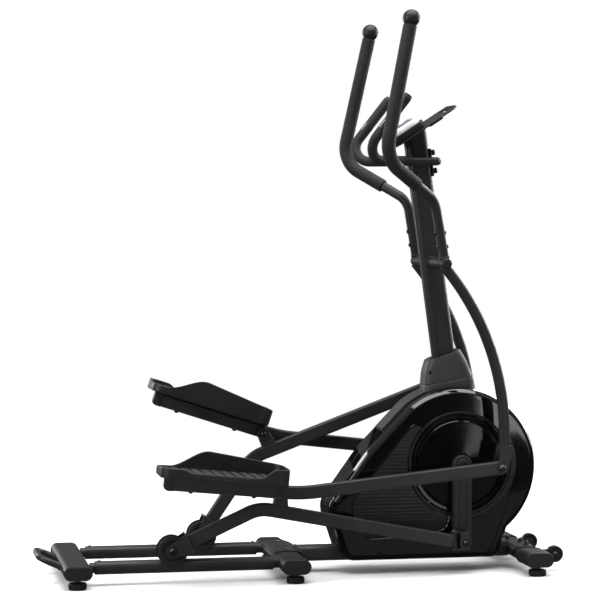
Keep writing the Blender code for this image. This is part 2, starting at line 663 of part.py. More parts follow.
def flywheel_fork():
    """The two plates that hold the flywheel's shaft and the brake's pivot, on one foot."""
    foot_z = BEAM_Z + BEAM_TALL / 2 + GAP
    low_x, high_x = FLYWHEEL_X - 0.055, FLYWHEEL_X + 0.055
    fork = block("flywheel_fork", (low_x, -0.066, foot_z), (high_x, 0.066, foot_z + 0.004), PAINT)
    pivot = magnet_pivot()
    outline = [(low_x, foot_z + 0.001), (high_x, foot_z + 0.001), (FLYWHEEL_X + 0.027, FLYWHEEL_Z + 0.008)]
    outline += [(FLYWHEEL_X, FLYWHEEL_Z + 0.025), (pivot[0] + 0.010, pivot[1] + 0.008)]
    outline += [(pivot[0] - 0.010, pivot[1] + 0.004), (pivot[0] - 0.008, pivot[1] - 0.012)]
    for side in SIDES.values():
        join(fork, prism("fork_plate", outline, side * 0.062, side * 0.066))
    cut(fork, rod("shaft_bore", bore_for(0.006, 28), -0.08, 0.08, (FLYWHEEL_X, FLYWHEEL_Z), sides=28))
    cut(fork, rod("brake_bore", bore_for(MAGNET_PIN, 12), -0.08, 0.08, pivot, sides=12))
    rest_on(fork, (FLYWHEEL_X, 0, foot_z))


def magnet_bracket():
    """The channel that holds the brake's magnets over the flywheel's rim, on its own pivot pin."""
    near, far, plate = FLYWHEEL_RADIUS - 0.012, FLYWHEEL_RADIUS + 0.004, 0.003
    section = [(-0.024, near), (-0.021, near), (-0.021, far), (0.021, far), (0.021, near), (0.024, near)]
    section += [(0.024, far + plate), (-0.024, far + plate)]
    rings = []
    for step in range(8):
        angle = math.radians(126 - 9 * step)
        ahead = Vector((math.cos(angle), 0, math.sin(angle)))
        rings.append([Vector((FLYWHEEL_X, y, FLYWHEEL_Z)) + ahead * reach for y, reach in section])
    bracket = loft("magnet_bracket", rings, STEEL)
    pivot = magnet_pivot()
    tip = arc((FLYWHEEL_X, FLYWHEEL_Z), far + plate / 2, 122, 126, 1)
    ear = [(pivot[0] - 0.006, pivot[1] - 0.006), (pivot[0] + 0.004, pivot[1] - 0.006), tip[1], tip[0]]
    ear.append((pivot[0] - 0.006, pivot[1] + 0.008))
    pin = rod("magnet_pin", MAGNET_PIN, -0.069, 0.069, pivot, sides=12)
    join(bracket, prism("magnet_ear", ear, -0.0235, 0.0235), pin)
    rest_on(bracket, (pivot[0], 0, pivot[1]))


def drive_belt():
    """The belt round the big pulley and the flywheel's small one."""
    big, small = PULLEY_RADIUS + 0.0015, HUB_RADIUS + 0.0015
    apart = Vector((FLYWHEEL_X - CRANK_X, FLYWHEEL_Z - CRANK_Z))
    toward = math.degrees(math.atan2(apart.y, apart.x))
    lean = math.degrees(math.acos((big - small) / apart.length))
    path = arc((CRANK_X, CRANK_Z), big, toward + lean, toward + 360 - lean, 30)
    path += arc((FLYWHEEL_X, FLYWHEEL_Z), small, toward - lean, toward + lean, 12)
    points = [Vector((x, BELT_Y, z)) for x, z in path]
    section = [(-0.007, -0.0011), (0.007, -0.0011), (0.007, 0.0011), (-0.007, 0.0011)]
    swept("drive_belt", points, section, RUBBER, closed=True)


# Roller links, rollers and bearings ----------------------------------------------------------


def link_frame(name, side):
    """An empty on the crank pin, turned so that a level link lies along its X axis."""
    pin = crank_pin(side)
    return empty(f"link_frame_{name}", (pin[0], side * RAIL_Y, pin[1]), -link_slope(side))


def roller_link(name, side, frame):
    """The bent bar from the crank bearing to the roller, with the roller's fork and the pedal arm's pin."""
    corners = [(LINK_END[0], 0, LINK_END[1]), (LINK_BEND[0], 0, LINK_BEND[1]), (HINGE_X - 0.005, 0, HINGE_Z)]
    section = rounded(LINK_WIDE, LINK_TALL, 0.006, 2)
    link = swept(f"roller_link_{name}", bent(corners, [0.10]), section, PAINT)
    low, high = HINGE_Z - HINGE_HALF, HINGE_Z + HINGE_HALF
    hinge = rod("hinge_tube", HINGE_RADIUS, low, high, (HINGE_X, 0), axis="Z", sides=16)
    join(link, hinge, *roller_fork(), *arm_post(side))
    cut(link, rod("hinge_bore", bore_for(HINGE_BOLT, 12), -0.05, 0.05, (HINGE_X, 0), axis="Z", sides=12))
    hang(frame, link)


def roller_fork():
    """The end plate and the two cheeks that hold the roller, and its axle."""
    ahead = Vector((LINK_BEND[0] - LINK_END[0], LINK_BEND[1] - LINK_END[1])).normalized()
    above = Vector((-ahead.y, ahead.x))
    toward = math.degrees(math.atan2(ahead.y, ahead.x))
    inner, outer = ROLLER_HALF + 0.0015, ROLLER_HALF + 0.0055

    def corner(along, up):
        return tuple(Vector(LINK_END) + ahead * along + above * up)

    back = [corner(0.002, -0.028), corner(0.002, 0.028)]
    end = [corner(-0.001, -0.028), corner(0.004, -0.028), corner(0.004, 0.028), corner(-0.001, 0.028)]
    pieces = [prism("fork_end", end, -outer, outer)]
    outline = arc((-LINK_LENGTH, 0.0), 0.019, toward + 90, toward + 270, 10) + back
    for side in SIDES.values():
        pieces.append(prism("fork_cheek", outline, side * inner, side * outer))
    pieces.append(rod("roller_axle", ROLLER_AXLE, -outer - 0.004, outer + 0.004, (-LINK_LENGTH, 0), sides=12))
    return pieces


def arm_post(side):
    """The post on the link that carries the pedal arm's pin, which reaches out through the arm."""
    x, z = ARM_PIVOT
    outline = [(x - 0.026, 0.108), (x + 0.020, 0.108), (x + 0.017, z), (x - 0.017, z)]
    post = prism("arm_post", outline, -0.0125, 0.0125)
    tube = rod("post_tube", 0.0175, -0.0133, 0.0133, (x, z), sides=20)
    reach = ARM_Y - RAIL_Y
    head = reach + ARM_WIDE / 2 + 0.001
    profile = [(0, 0.0), (PIVOT_PIN, 0.0), (PIVOT_PIN, head), (0.0105, head), (0.0105, head + 0.002)]
    profile += [(0.008, head + 0.0035), (0, head + 0.0035)]
    pin = turned("arm_pin", [(radius, side * y) for radius, y in profile], (x, 0, z), sides=20)
    return [post, tube, pin]


def crank_bearing(name, side, frame):
    """The bearing on the crank pin. Its slot is taller than the pin, so that the pin can rise in it."""
    inner, outer = CRANK_ARM_OUT + 0.0008 - RAIL_Y, 0.1595 - RAIL_Y
    low, high = HINGE_Z - HINGE_HALF - GAP, HINGE_Z + HINGE_HALF + GAP
    plate = 0.004
    bearing = rod(f"crank_bearing_{name}", 0.0165, side * inner, side * outer, (0, 0), PAINT)
    join(bearing, block("bearing_back", (-0.0135, -0.0125, low - plate), (0.0135, 0.0125, high + plate)))
    join(bearing, block("top_plate", (HINGE_X - 0.009, -0.012, high), (0.004, 0.012, high + plate)))
    join(bearing, block("low_plate", (HINGE_X - 0.009, -0.012, low - plate), (0.004, 0.012, low)))
    ends = (low - plate - 0.004, high + plate + 0.004)
    join(bearing, rod("hinge_bolt", HINGE_BOLT, *ends, (HINGE_X, 0), axis="Z", sides=12))
    cut(bearing, pin_slot(side, inner, outer - 0.004))
    hang(frame, bearing)


def pin_slot(side, inner, floor):
    """The upright slot for the crank pin, which rises from bottom dead centre or sinks from the top."""
    short, tall = PIN_RADIUS + 0.0012, PIN_RADIUS + 0.0145
    low, high = (-short, tall) if side == RIGHT else (-tall, short)
    slot = block("pin_slot", (-0.0080, side * (inner - 0.01), low), (0.0080, side * floor, high))
    slot.rotation_euler = (0.0, link_slope(side), 0.0)
    return slot


def roller(name, side, frame):
    """A grooved roller that straddles the rail."""
    groove, above_rail = RAIL_RADIUS + 0.0009, ROLLER_Z - RAIL_Z
    half, rim = ROLLER_HALF, ROLLER_RADIUS
    inner = bore_for(ROLLER_AXLE, 12) + 0.0002
    profile = [(inner, -half), (rim - 0.0015, -half), (rim, -half + 0.0015)]
    for step in range(7):
        along = -groove * math.cos(math.pi * step / 6)
        profile.append((min(rim, above_rail - math.sqrt(max(groove**2 - along**2, 0.0))), along))
    profile += [(rim, half - 0.0015), (rim - 0.0015, half), (inner, half)]
    wheel = turned(f"roller_{name}", profile, (0, 0, 0), DARK_PLASTIC, sides=24)
    wheel.location = (-LINK_LENGTH, 0, 0)
    hang(frame, wheel)


# Pedal arms and pedals -----------------------------------------------------------------------


def arm_frame(name, side):
    """An empty on the link's pivot, turned with the pedal arm."""
    pivot, front = on_link(side, ARM_PIVOT), clevis_pin(side)
    turn = math.atan2(ARM_FRONT[1], ARM_FRONT[0]) - math.atan2(front[1] - pivot[1], front[0] - pivot[0])
    return empty(f"arm_frame_{name}", (pivot[0], 0, pivot[1]), turn)


def pedal_arm(name, side, frame):
    """The bent bar under the pedal, from its rounded rear end to the swing arm's clevis."""
    y = side * ARM_Y
    corners = [(x, y, z) for x, z in (ARM_REAR, ARM_BEND, ARM_FRONT)]
    section = rounded(ARM_WIDE, ARM_TALL, 0.006, 2)
    arm = swept(f"pedal_arm_{name}", bent(corners, [0.45], math.radians(5)), section, PAINT)
    join(arm, rod("arm_front_round", ARM_TALL / 2 - 0.0003, y - 0.0135, y + 0.0135, ARM_FRONT))
    join(arm, end_plug(y))
    cut(arm, rod("arm_bore", bore_for(PIVOT_PIN, 20), y - 0.03, y + 0.03, (0, 0), sides=20))
    cut(arm, rod("clevis_play", 0.0105, y - 0.03, y + 0.03, ARM_FRONT, sides=16))
    hang(frame, arm)


def rear_slope():
    """The slope of the pedal arm's rear run, in the arm's frame."""
    return math.atan2(ARM_BEND[1] - ARM_REAR[1], ARM_BEND[0] - ARM_REAR[0])


def end_plug(y):
    """The plastic plug in the arm's rear end, a little larger than the bar and round at its lower corner."""
    slope = rear_slope()
    half_wide, half_tall, length = ARM_WIDE / 2 + 0.0008, ARM_TALL / 2 + 0.0008, 0.022
    side_view = [(0.004, -half_tall), (0.004, half_tall), (-length, half_tall)]
    side_view.append((-length, 0.004 - half_tall / 2))
    side_view += arc((-length + 0.012, -half_tall + 0.012), 0.012, 180, 270, 3)
    outline = []
    for point in side_view:
        dx, dz = rotated(point, slope)
        outline.append((ARM_REAR[0] + dx, ARM_REAR[1] + dz))
    return prism("arm_plug", outline, y - half_wide, y + half_wide)


def smooth(share):
    share = min(max(share, 0.0), 1.0)
    return share * share * (3.0 - 2.0 * share)


def wall_height(share, inner_share):
    """Height of the pedal's rim at a share of its length from the heel. It is highest on the inner side."""
    inner = 0.0235 + 0.0475 * smooth((share - 0.10) / 0.31) - 0.022 * max(0.0, (share - 0.42) / 0.58)
    outer = 0.030 - 0.009 * smooth((share - 0.16) / 0.08) + 0.028 * smooth((share - 0.76) / 0.14)
    return outer + (inner - outer) * smooth(inner_share)


def with_points(outline, longest):
    """The outline with extra points on every edge that is longer than `longest`."""
    dense = []
    for (x, y), (next_x, next_y) in zip(outline, outline[1:] + outline[:1]):
        pieces = max(1, math.ceil(math.hypot(next_x - x, next_y - y) / longest))
        for step in range(pieces):
            share = step / pieces
            dense.append((x + (next_x - x) * share, y + (next_y - y) * share))
    return dense


def pedal(name, side, frame):
    """The foot plate: a shallow tray with a high inner wall, a toe wall and a low outer lip."""
    length, width = PEDAL_HIGH - PEDAL_LOW, PEDAL_OUT - PEDAL_IN
    centre_x, centre_y = (PEDAL_HIGH + PEDAL_LOW) / 2, (PEDAL_IN + PEDAL_OUT) / 2
    outline = with_points(rounded(length, width, 0.034, 3), 0.032)

    def ring(inset, height=None):
        points = []
        for x, across in outline:
            share = 0.5 + x / length
            inner_share = 0.5 - across / (width - 0.04)
            x, across = x * (1 - 2 * inset / length), across * (1 - 2 * inset / width)
            z = wall_height(share, inner_share) if height is None else height
            points.append((x + centre_x, side * (across + centre_y), z))
        return points

    rings = [ring(0.005, 0.0), ring(0.0, 0.005), ring(0.0), ring(0.0055), ring(0.007, 0.012)]
    tray = loft(f"pedal_{name}", rings, DARK_PLASTIC)
    slope = rear_slope()
    rise = ARM_TALL / 2 + 0.0018
    lift = ARM_BEND[1] - ARM_BEND[0] * math.tan(slope)
    tray.location = (-rise * math.sin(slope), 0, lift + rise * math.cos(slope))
    tray.rotation_euler = (0.0, -slope, 0.0)
    hang(frame, tray)


# Swing arms, handlebars and grips ------------------------------------------------------------


def swing_frame(name, side):
    """An empty on the mast pivot, turned with the swing arm."""
    front = clevis_pin(side)
    lean = math.atan2(front[0] - SWING_X, SWING_Z - front[1])
    return empty(f"swing_frame_{name}", (SWING_X, 0, SWING_Z), SWING_REST - lean)


def swing_axle():
    cap, out = 0.0145, HUB_OUT + GAP
    profile = [(0, -out - 0.004), (cap - 0.002, -out - 0.004), (cap, -out - 0.002), (cap, -out)]
    profile.append((SWING_AXLE_RADIUS, -out))
    profile += [(radius, -along) for radius, along in profile[::-1]]
    axle = turned("swing_axle", profile, (SWING_X, 0, SWING_Z), STEEL)
    rest_on(axle, (SWING_X, 0, SWING_Z))


def swing_arm(name, side, frame):
    """The lower lever: a long hub on the axle, a bowed tube, and the clevis with its pin."""
    y = side * ARM_Y
    hub = rod(f"swing_arm_{name}", HUB_RADIUS_OUT, side * (BOSS_OUT + 0.001), side * HUB_OUT, (0, 0), PAINT)
    front = (SWING_REACH * math.sin(SWING_REST), -SWING_REACH * math.cos(SWING_REST))
    join(hub, swept("swing_tube", swing_path(y), circle(0.0155, 16)))
    top = front[1] + 0.0366
    cheek = arc(front, 0.0145, 180, 335, 8)
    cheek += [(front[0] + 0.034, top + 0.012), (front[0] + 0.031, top + 0.026)]
    cheek.append((front[0] - 0.006, top + 0.030))
    for across in (-1, 1):
        low, high = (y + across * (ARM_WIDE / 2 + reach) for reach in (0.001, 0.0045))
        join(hub, prism("clevis_plate", cheek, low, high))
    web = [(front[0] - 0.006, top + 0.006), (front[0] + 0.030, top + 0.010)] + cheek[-2:]
    join(hub, prism("clevis_web", web, y - 0.018, y + 0.018))
    join(hub, rod("clevis_pin", 0.0045, y - 0.020, y + 0.0205, front, sides=12))
    join(hub, rod("clevis_head", 0.0075, side * (ARM_Y + 0.018), side * (ARM_Y + 0.0225), front, sides=12))
    join(hub, stub(y))
    cut(hub, rod("hub_bore", bore_for(SWING_AXLE_RADIUS, ROUND), side * 0.01, side * 0.22, (0, 0)))
    hang(frame, hub)


def stub(y, wider=0.0, longer=0.0):
    """The stub on the hub that the handlebar slides over, or its bore when it is made wider and longer."""
    lean = (HANDLE_BEND_LOW[0] - SWING_X) / (HANDLE_BEND_LOW[2] - SWING_Z)
    path = []
    for up in (HUB_RADIUS_OUT - 0.003, STUB_TOP - SWING_Z + longer):
        path.append(Vector((lean * up, y, up)))
    return swept("swing_stub", path, circle(STUB_RADIUS + wider, TUBE))


def swing_path(y):
    """Centre line of the lower tube: it leaves the hub at 39 degrees from upright and ends upright."""
    start, radius, first, last = (0.0062, -0.0185), 0.738, 39.5, 0.0
    lean = math.radians(first)
    centre = (start[0] - radius * math.cos(lean), start[1] - radius * math.sin(lean))
    inside = (start[0] - 0.016 * math.sin(lean), start[1] + 0.016 * math.cos(lean))
    points = [inside] + arc(centre, radius, first, last, 9) + [(0.1765, -0.535)]
    return [Vector((x, y, z)) for x, z in points]


def handle_path(side):
    """Centre line of the upper handlebar, from its foot to the ball, in the swing frame."""
    lean = (HANDLE_BEND_LOW[0] - SWING_X) / (HANDLE_BEND_LOW[2] - SWING_Z)
    foot = (SWING_X + lean * (HANDLE_FOOT - SWING_Z), HANDLE_BEND_LOW[1], HANDLE_FOOT)
    corners = []
    for x, y, z in (foot, HANDLE_BEND_LOW, HANDLE_BEND_HIGH, HANDLE_TOP):
        corners.append((x - SWING_X, side * y, z - SWING_Z))
    return bent(corners, [0.060, 0.085], math.radians(12))


def trimmed(path, start, end):
    """The stretch of a path between two distances along it."""
    points, gone = [], 0.0
    for before, after in zip(path, path[1:]):
        length = (after - before).length
        if start < gone + length and gone < end:
            if gone <= start:
                points.append(before.lerp(after, (start - gone) / length))
            if gone + length >= end:
                points.append(before.lerp(after, (end - gone) / length))
            else:
                points.append(after)
        gone += length
    return points


def path_length(path):
    return sum((after - before).length for before, after in zip(path, path[1:]))


def handlebar(name, side, frame):
    """The upper tube with its foam and its ball. Its foot is hollowed for the hub and its stub."""
    path = handle_path(side)
    tube = swept(f"handlebar_{name}", path, circle(HANDLE_RADIUS), PAINT)
    cut(tube, rod("hub_seat", HUB_RADIUS_OUT + 0.0005, -0.3, 0.3, (0, 0)))
    cut(tube, stub(side * HANDLE_BEND_LOW[1], wider=2 * GAP, longer=0.001))
    hang(frame, tube)
    bore = HANDLE_RADIUS / math.cos(math.pi / TUBE) + GAP
    stretch = trimmed(path, GRIP_START, path_length(path) - 0.001)
    hang(frame, sleeve(f"grip_{name}", stretch, GRIP_RADIUS, bore, FOAM))
    ahead = (path[-1] - path[-2]).normalized()
    ball = ball_end(f"handle_ball_{name}")
    ball.location = path[-1] + ahead * GAP
    ball.rotation_euler = UPRIGHT.rotation_difference(ahead).to_euler()
    hang(frame, ball)


def ball_end(name):
    """A ball with a short flat collar, standing on the grip's end."""
    radius, collar = BALL_RADIUS, 0.016
    start = math.asin(collar / radius)
    centre = radius * math.cos(start)
    profile = [(0, 0)]
    for step in range(9):
        angle = start + (math.pi - start) * step / 9
        profile.append((radius * math.sin(angle), centre - radius * math.cos(angle)))
    profile.append((0, centre + radius))
    return turned(name, profile, (0, 0, 0), DARK_PLASTIC, "Z", 16)


# Fixed handlebar and console -----------------------------------------------------------------


def fixed_half(side):
    """Centre line of one half of the fixed handlebar, from the mast's front to the hook's tip."""
    hook_x = FIXED_TIP[0] - (FIXED_TIP[1] - FIXED_Z) / math.tan(HOOK_RISE)
    corners = [(FIXED_FRONT_X, 0.0, FIXED_Z), (FIXED_FRONT_X, 0.0385, FIXED_Z), (0.311, 0.0425, FIXED_Z)]
    corners += [(hook_x, HOOK_Y, FIXED_Z), (FIXED_TIP[0], HOOK_Y, FIXED_TIP[1])]
    points = [(x, side * y, z) for x, y, z in corners]
    return bent(points, [0.018, 0.080, 0.046], math.radians(20))


def fixed_handlebar():
    """The fixed bar that loops round the mast and ends in two hooks, with its clamp plate."""
    path = fixed_half(RIGHT)[::-1] + fixed_half(LEFT)[1:]
    bar = loft("fixed_handlebar", swept_rings(path, circle(FIXED_RADIUS), UPRIGHT), PAINT)
    near = mast_x(FIXED_Z) + MAST_DEEP / 2 + 0.0008
    low, high = -0.043, 0.037
    outline = []
    for x, dz in ((near, low), (near, high), (near + 0.0060, high), (near + 0.0060, low)):
        outline.append((x + MAST_LEAN * dz, FIXED_Z + dz))
    join(bar, prism("clamp_plate", outline, -0.017, 0.017))
    rest_on(bar, (FIXED_FRONT_X, 0, FIXED_Z))


def fixed_grips():
    bore = FIXED_RADIUS / math.cos(math.pi / TUBE) + GAP
    for name, side in SIDES.items():
        path = fixed_half(side)
        stretch = trimmed(path, 0.108, path_length(path) - 0.004)
        outside = swept_rings(stretch, circle(FIXED_GRIP_RADIUS), UPRIGHT)
        inside = swept_rings(stretch, circle(bore), UPRIGHT)
        loft(f"fixed_grip_{name}", outside + inside[::-1], FOAM, closed=True)


def plate_rings(along, across, radius, levels):
    """Rings of a rounded plate in the console's frame. Each level is (height, inset)."""
    rings = []
    length, width = along[1] - along[0], 2 * across
    centre = (along[0] + along[1]) / 2
    for height, inset in levels:
        outline = rounded(length - 2 * inset, width - 2 * inset, max(radius - inset, 0.002), 5)
        rings.append([(centre + a, b, height) for a, b in outline])
    return rings


def tablet_tray(frame):
    """The thin plate under the console, whose slotted upper end a tablet leans on."""
    levels = [(0.0, 0.001), (0.001, 0), (0.004, 0), (0.005, 0.001)]
    plate = loft("tablet_tray", plate_rings((0.0, 0.220), CONSOLE_HALF, 0.034, levels), DARK_PLASTIC)
    rib = block("tray_rib", (0.130, -0.030, -0.009), (0.172, 0.030, 0.001))
    slot = loft("tray_slot", plate_rings((0.184, 0.200), 0.042, 0.0078, [(-0.02, 0), (0.02, 0)]))
    join(plate, rib)
    cut(plate, slot)
    hang(frame, plate)


def console_body(frame):
    levels = [(0.0055, 0.006), (0.008, 0.003), (0.022, 0.0), (0.0265, 0.001)]
    body = loft("console_body", plate_rings((0.002, 0.113), CONSOLE_HALF, 0.034, levels), DARK_PLASTIC)
    for across in (-BUTTON_Y, BUTTON_Y):
        at = (BUTTON_AT, across)
        cut(body, rod("button_way", BUTTON_STEM + 0.0008, 0.0200, 0.05, at, axis="Z", sides=12))
    hang(frame, body)


def console_bezel(frame):
    """The pale frame round the screen, with a pocket for it and two button holes."""
    levels = [(0.0268, 0.0), (0.036, 0.001), (0.0405, 0.005), (0.0415, 0.009)]
    rings = plate_rings((0.008, 0.106), CONSOLE_HALF - 0.006, 0.034, levels)
    bezel = loft("console_bezel", rings, BRIGHT_PLASTIC)
    cut(bezel, loft("screen_pocket", plate_rings((0.040, 0.097), 0.056, 0.014, [(0.0375, 0), (0.06, 0)])))
    for across in (-BUTTON_Y, BUTTON_Y):
        at = (BUTTON_AT, across)
        cut(bezel, rod("button_hole", BUTTON_RADIUS + 0.0006, 0.02, 0.06, at, axis="Z", sides=12))
    hang(frame, bezel)


def console_screen(frame):
    levels = [(0.0378, 0.0), (0.0412, 0.0), (0.0417, 0.001)]
    screen = loft("console_screen", plate_rings((0.0404, 0.0966), 0.0556, 0.0136, levels), SCREEN)
    hang(frame, screen)


def console_buttons(frame):
    """Two press buttons below the screen, each on a short stem."""
    radius, stem = BUTTON_RADIUS, BUTTON_STEM
    profile = [(0, 0.0225), (stem, 0.0225), (stem, 0.0315), (radius, 0.0315), (radius, 0.0428)]
    profile += [(radius - 0.001, 0.0436), (0, 0.0436)]
    for name, across in (("mode_button", -BUTTON_Y), ("reset_button", BUTTON_Y)):
        button = turned(name, profile, (0, 0, 0), RUBBER, "Z", 12)
        button.location = (BUTTON_AT, across, 0)
        hang(frame, button)


# The whole machine ---------------------------------------------------------------------------


def build():
    clear_scene()
    floor_pieces = (rear_bar, carry_handle, mid_bar, front_bar, front_caps, transport_wheels, feet, rails)
    column_pieces = (main_frame, mast, mast_cover, mast_collar, housings, swing_axle)
    handle_pieces = (fixed_handlebar, fixed_grips)
    drive_pieces = (crank_axle, drive_pulley, crank_discs, crank_arms, drive_belt)
    brake_pieces = (flywheel, flywheel_fork, magnet_bracket)
    for make in floor_pieces + column_pieces + handle_pieces + drive_pieces + brake_pieces:
        make()
    for name, side in SIDES.items():
        link, arm, swing = link_frame(name, side), arm_frame(name, side), swing_frame(name, side)
        for make in (roller_link, crank_bearing, roller):
            make(name, side, link)
        for make in (pedal_arm, pedal):
            make(name, side, arm)
        for make in (swing_arm, handlebar):
            make(name, side, swing)
    console = empty("console_frame", (CONSOLE_AT[0], 0, CONSOLE_AT[1]), -CONSOLE_TILT)
    for make in (tablet_tray, console_body, console_bezel, console_screen, console_buttons):
        make(console)


build()
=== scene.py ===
"""Elliptical trainer: the looks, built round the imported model.

+X points to the front of the machine, +Z up, and the user's right-hand side is -Y. Lengths are in metres.
"""

from math import asin, atan2, ceil, copysign, cos, degrees, hypot, pi, radians, sin, sqrt, tan

import bmesh
import bpy
from mathutils import Matrix, Vector


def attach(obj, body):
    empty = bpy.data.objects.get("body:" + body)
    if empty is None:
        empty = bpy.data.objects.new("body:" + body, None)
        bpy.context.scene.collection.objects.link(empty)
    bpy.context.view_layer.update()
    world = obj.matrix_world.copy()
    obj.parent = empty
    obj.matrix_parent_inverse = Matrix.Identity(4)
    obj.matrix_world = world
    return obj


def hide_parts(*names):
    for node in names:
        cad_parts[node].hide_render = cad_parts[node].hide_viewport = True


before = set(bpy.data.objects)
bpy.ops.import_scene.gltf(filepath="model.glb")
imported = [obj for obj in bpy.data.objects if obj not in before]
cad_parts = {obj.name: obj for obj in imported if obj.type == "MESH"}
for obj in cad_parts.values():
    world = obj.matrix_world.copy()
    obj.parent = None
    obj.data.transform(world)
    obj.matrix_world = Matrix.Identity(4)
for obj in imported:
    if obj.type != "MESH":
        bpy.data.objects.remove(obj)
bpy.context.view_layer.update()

# Driving dimensions, as in the CAD.
RIGHT, LEFT = -1, 1
SIDES = {"right": RIGHT, "left": LEFT}
GAP = 0.0003

REAR_X, MID_X, FRONT_X = -0.653, -0.043, 0.66
BAR_Z, BAR_WIDE, BAR_TALL, BAR_HALF = 0.047, 0.08, 0.04, 0.235
FOOT_Y, FOOT_RADIUS = 0.205, 0.0255
RAIL_Y, RAIL_Z, RAIL_RADIUS = 0.144, 0.0486, 0.019
BEAM_Z, BEAM_WIDE, BEAM_TALL = 0.053, 0.06, 0.044
WHEEL_AT, WHEEL_IN, WHEEL_OUT, WHEEL_RADIUS = (0.733, 0.0495), 0.119, 0.141, 0.024

CRANK_X, CRANK_Z, CRANK_RADIUS = 0.461, 0.312, 0.22
CRANK_AT = (CRANK_X, 0, CRANK_Z)
ROLLER_Z, LINK_LENGTH = 0.092, 0.844
ROLLER_RADIUS, ROLLER_HALF = 0.0425, 0.023
LINK_TALL, LINK_WIDE = 0.038, 0.026
LINK_END, LINK_BEND = (-0.7985, 0.021), (-0.597, 0.1125)
HINGE_X, HINGE_Z, HINGE_RADIUS, HINGE_HALF = -0.031, 0.005, 0.0095, 0.0225

ARM_Y, SWING_X, SWING_Z, SWING_REACH = 0.172, 0.395, 0.8916, 0.607
SWING_AT = (SWING_X, 0, SWING_Z)
ARM_PIVOT, ARM_LENGTH = (-0.534, 0.1555), 0.6368
ARM_TALL, ARM_WIDE = 0.038, 0.028
ARM_FRONT, ARM_BEND, ARM_REAR = (0.634, 0.0605), (0.052, -0.0005), (-0.3141, 0.0344)
ARM_SLOPE = atan2(ARM_BEND[1] - ARM_REAR[1], ARM_BEND[0] - ARM_REAR[0])
PEDAL_LOW, PEDAL_HIGH, PEDAL_IN, PEDAL_OUT = -0.357, 0.006, 0.0985, 0.2545

HOUSING_HALF, HOUSING_WALL = 0.088, 0.003
HOUSING_CENTRE, HOUSING_RADIUS = (0.459, 0.3), 0.231
PANEL_CORNERS = (
    (0.146, 0.208), (0.149, 0.15), (0.19, 0.101), (0.26, 0.104), (0.42, 0.123), (0.461, 0.312),
    (0.33, 0.436),
)
HOUSING_SCREWS = ((0.2233, 0.059), (0.547, 0.06), (0.651, 0.359))
DISC_RADIUS, CRANK_ARM_IN, CRANK_ARM_OUT, CRANK_ARM_HALF = 0.141, 0.099, 0.127, 0.0275
PIN_RADIUS, PIN_END = 0.0052, 0.1545

MAST_FOOT_Z, MAST_TOP_Z, MAST_DEEP, MAST_WIDE = 0.505, 1.31, 0.068, 0.05
MAST_LEAN, MAST_LEAN_X, MAST_LEAN_Z = -0.1356, 0.432, 0.63

HUB_OUT, HUB_RADIUS, HUB_IN = 0.19, 0.015, 0.031
SWING_REST = atan2(0.166, 0.5846)
HANDLE_RADIUS, GRIP_RADIUS, BALL_RADIUS, GRIP_START = 0.014, 0.0194, 0.0245, 0.258
HANDLE_FOOT, HANDLE_BENDS = 0.9, ((0.364, ARM_Y, 1.071), (0.191, 0.302, 1.186), (0.2665, 0.28, 1.556))
HANDLE_LEAN = (HANDLE_BENDS[0][0] - SWING_X) / (HANDLE_BENDS[0][2] - SWING_Z)
FIXED_RADIUS, FIXED_GRIP_RADIUS, FIXED_Z, HOOK_Y = 0.012, 0.0145, 1.184, 0.12
FIXED_FRONT_X, FIXED_TIP = 0.4085, (0.3002, 1.37)
CONSOLE_AT, CONSOLE_TILT, CONSOLE_HALF = (0.276, 1.22), radians(33.5), 0.079
BUTTON_AT, BUTTON_Y, BUTTON_RADIUS = 0.0235, 0.018, 0.0055

ROUND, TUBE = 56, 36  # sides of a turned piece and of a bent tube
UPRIGHT = Vector((0, 0, 1))


# Materials


def node_maker(tree):
    """A function that adds a node to the tree and sets or links its inputs."""

    def add(kind, **inputs):
        node = tree.nodes.new("ShaderNode" + kind)
        for key, value in inputs.items():
            socket = node.inputs[int(key[2:]) if key.startswith("at") else key.replace("_", " ")]
            if isinstance(value, bpy.types.NodeSocket):
                tree.links.new(value, socket)
            else:
                socket.default_value = value
        return node

    return add


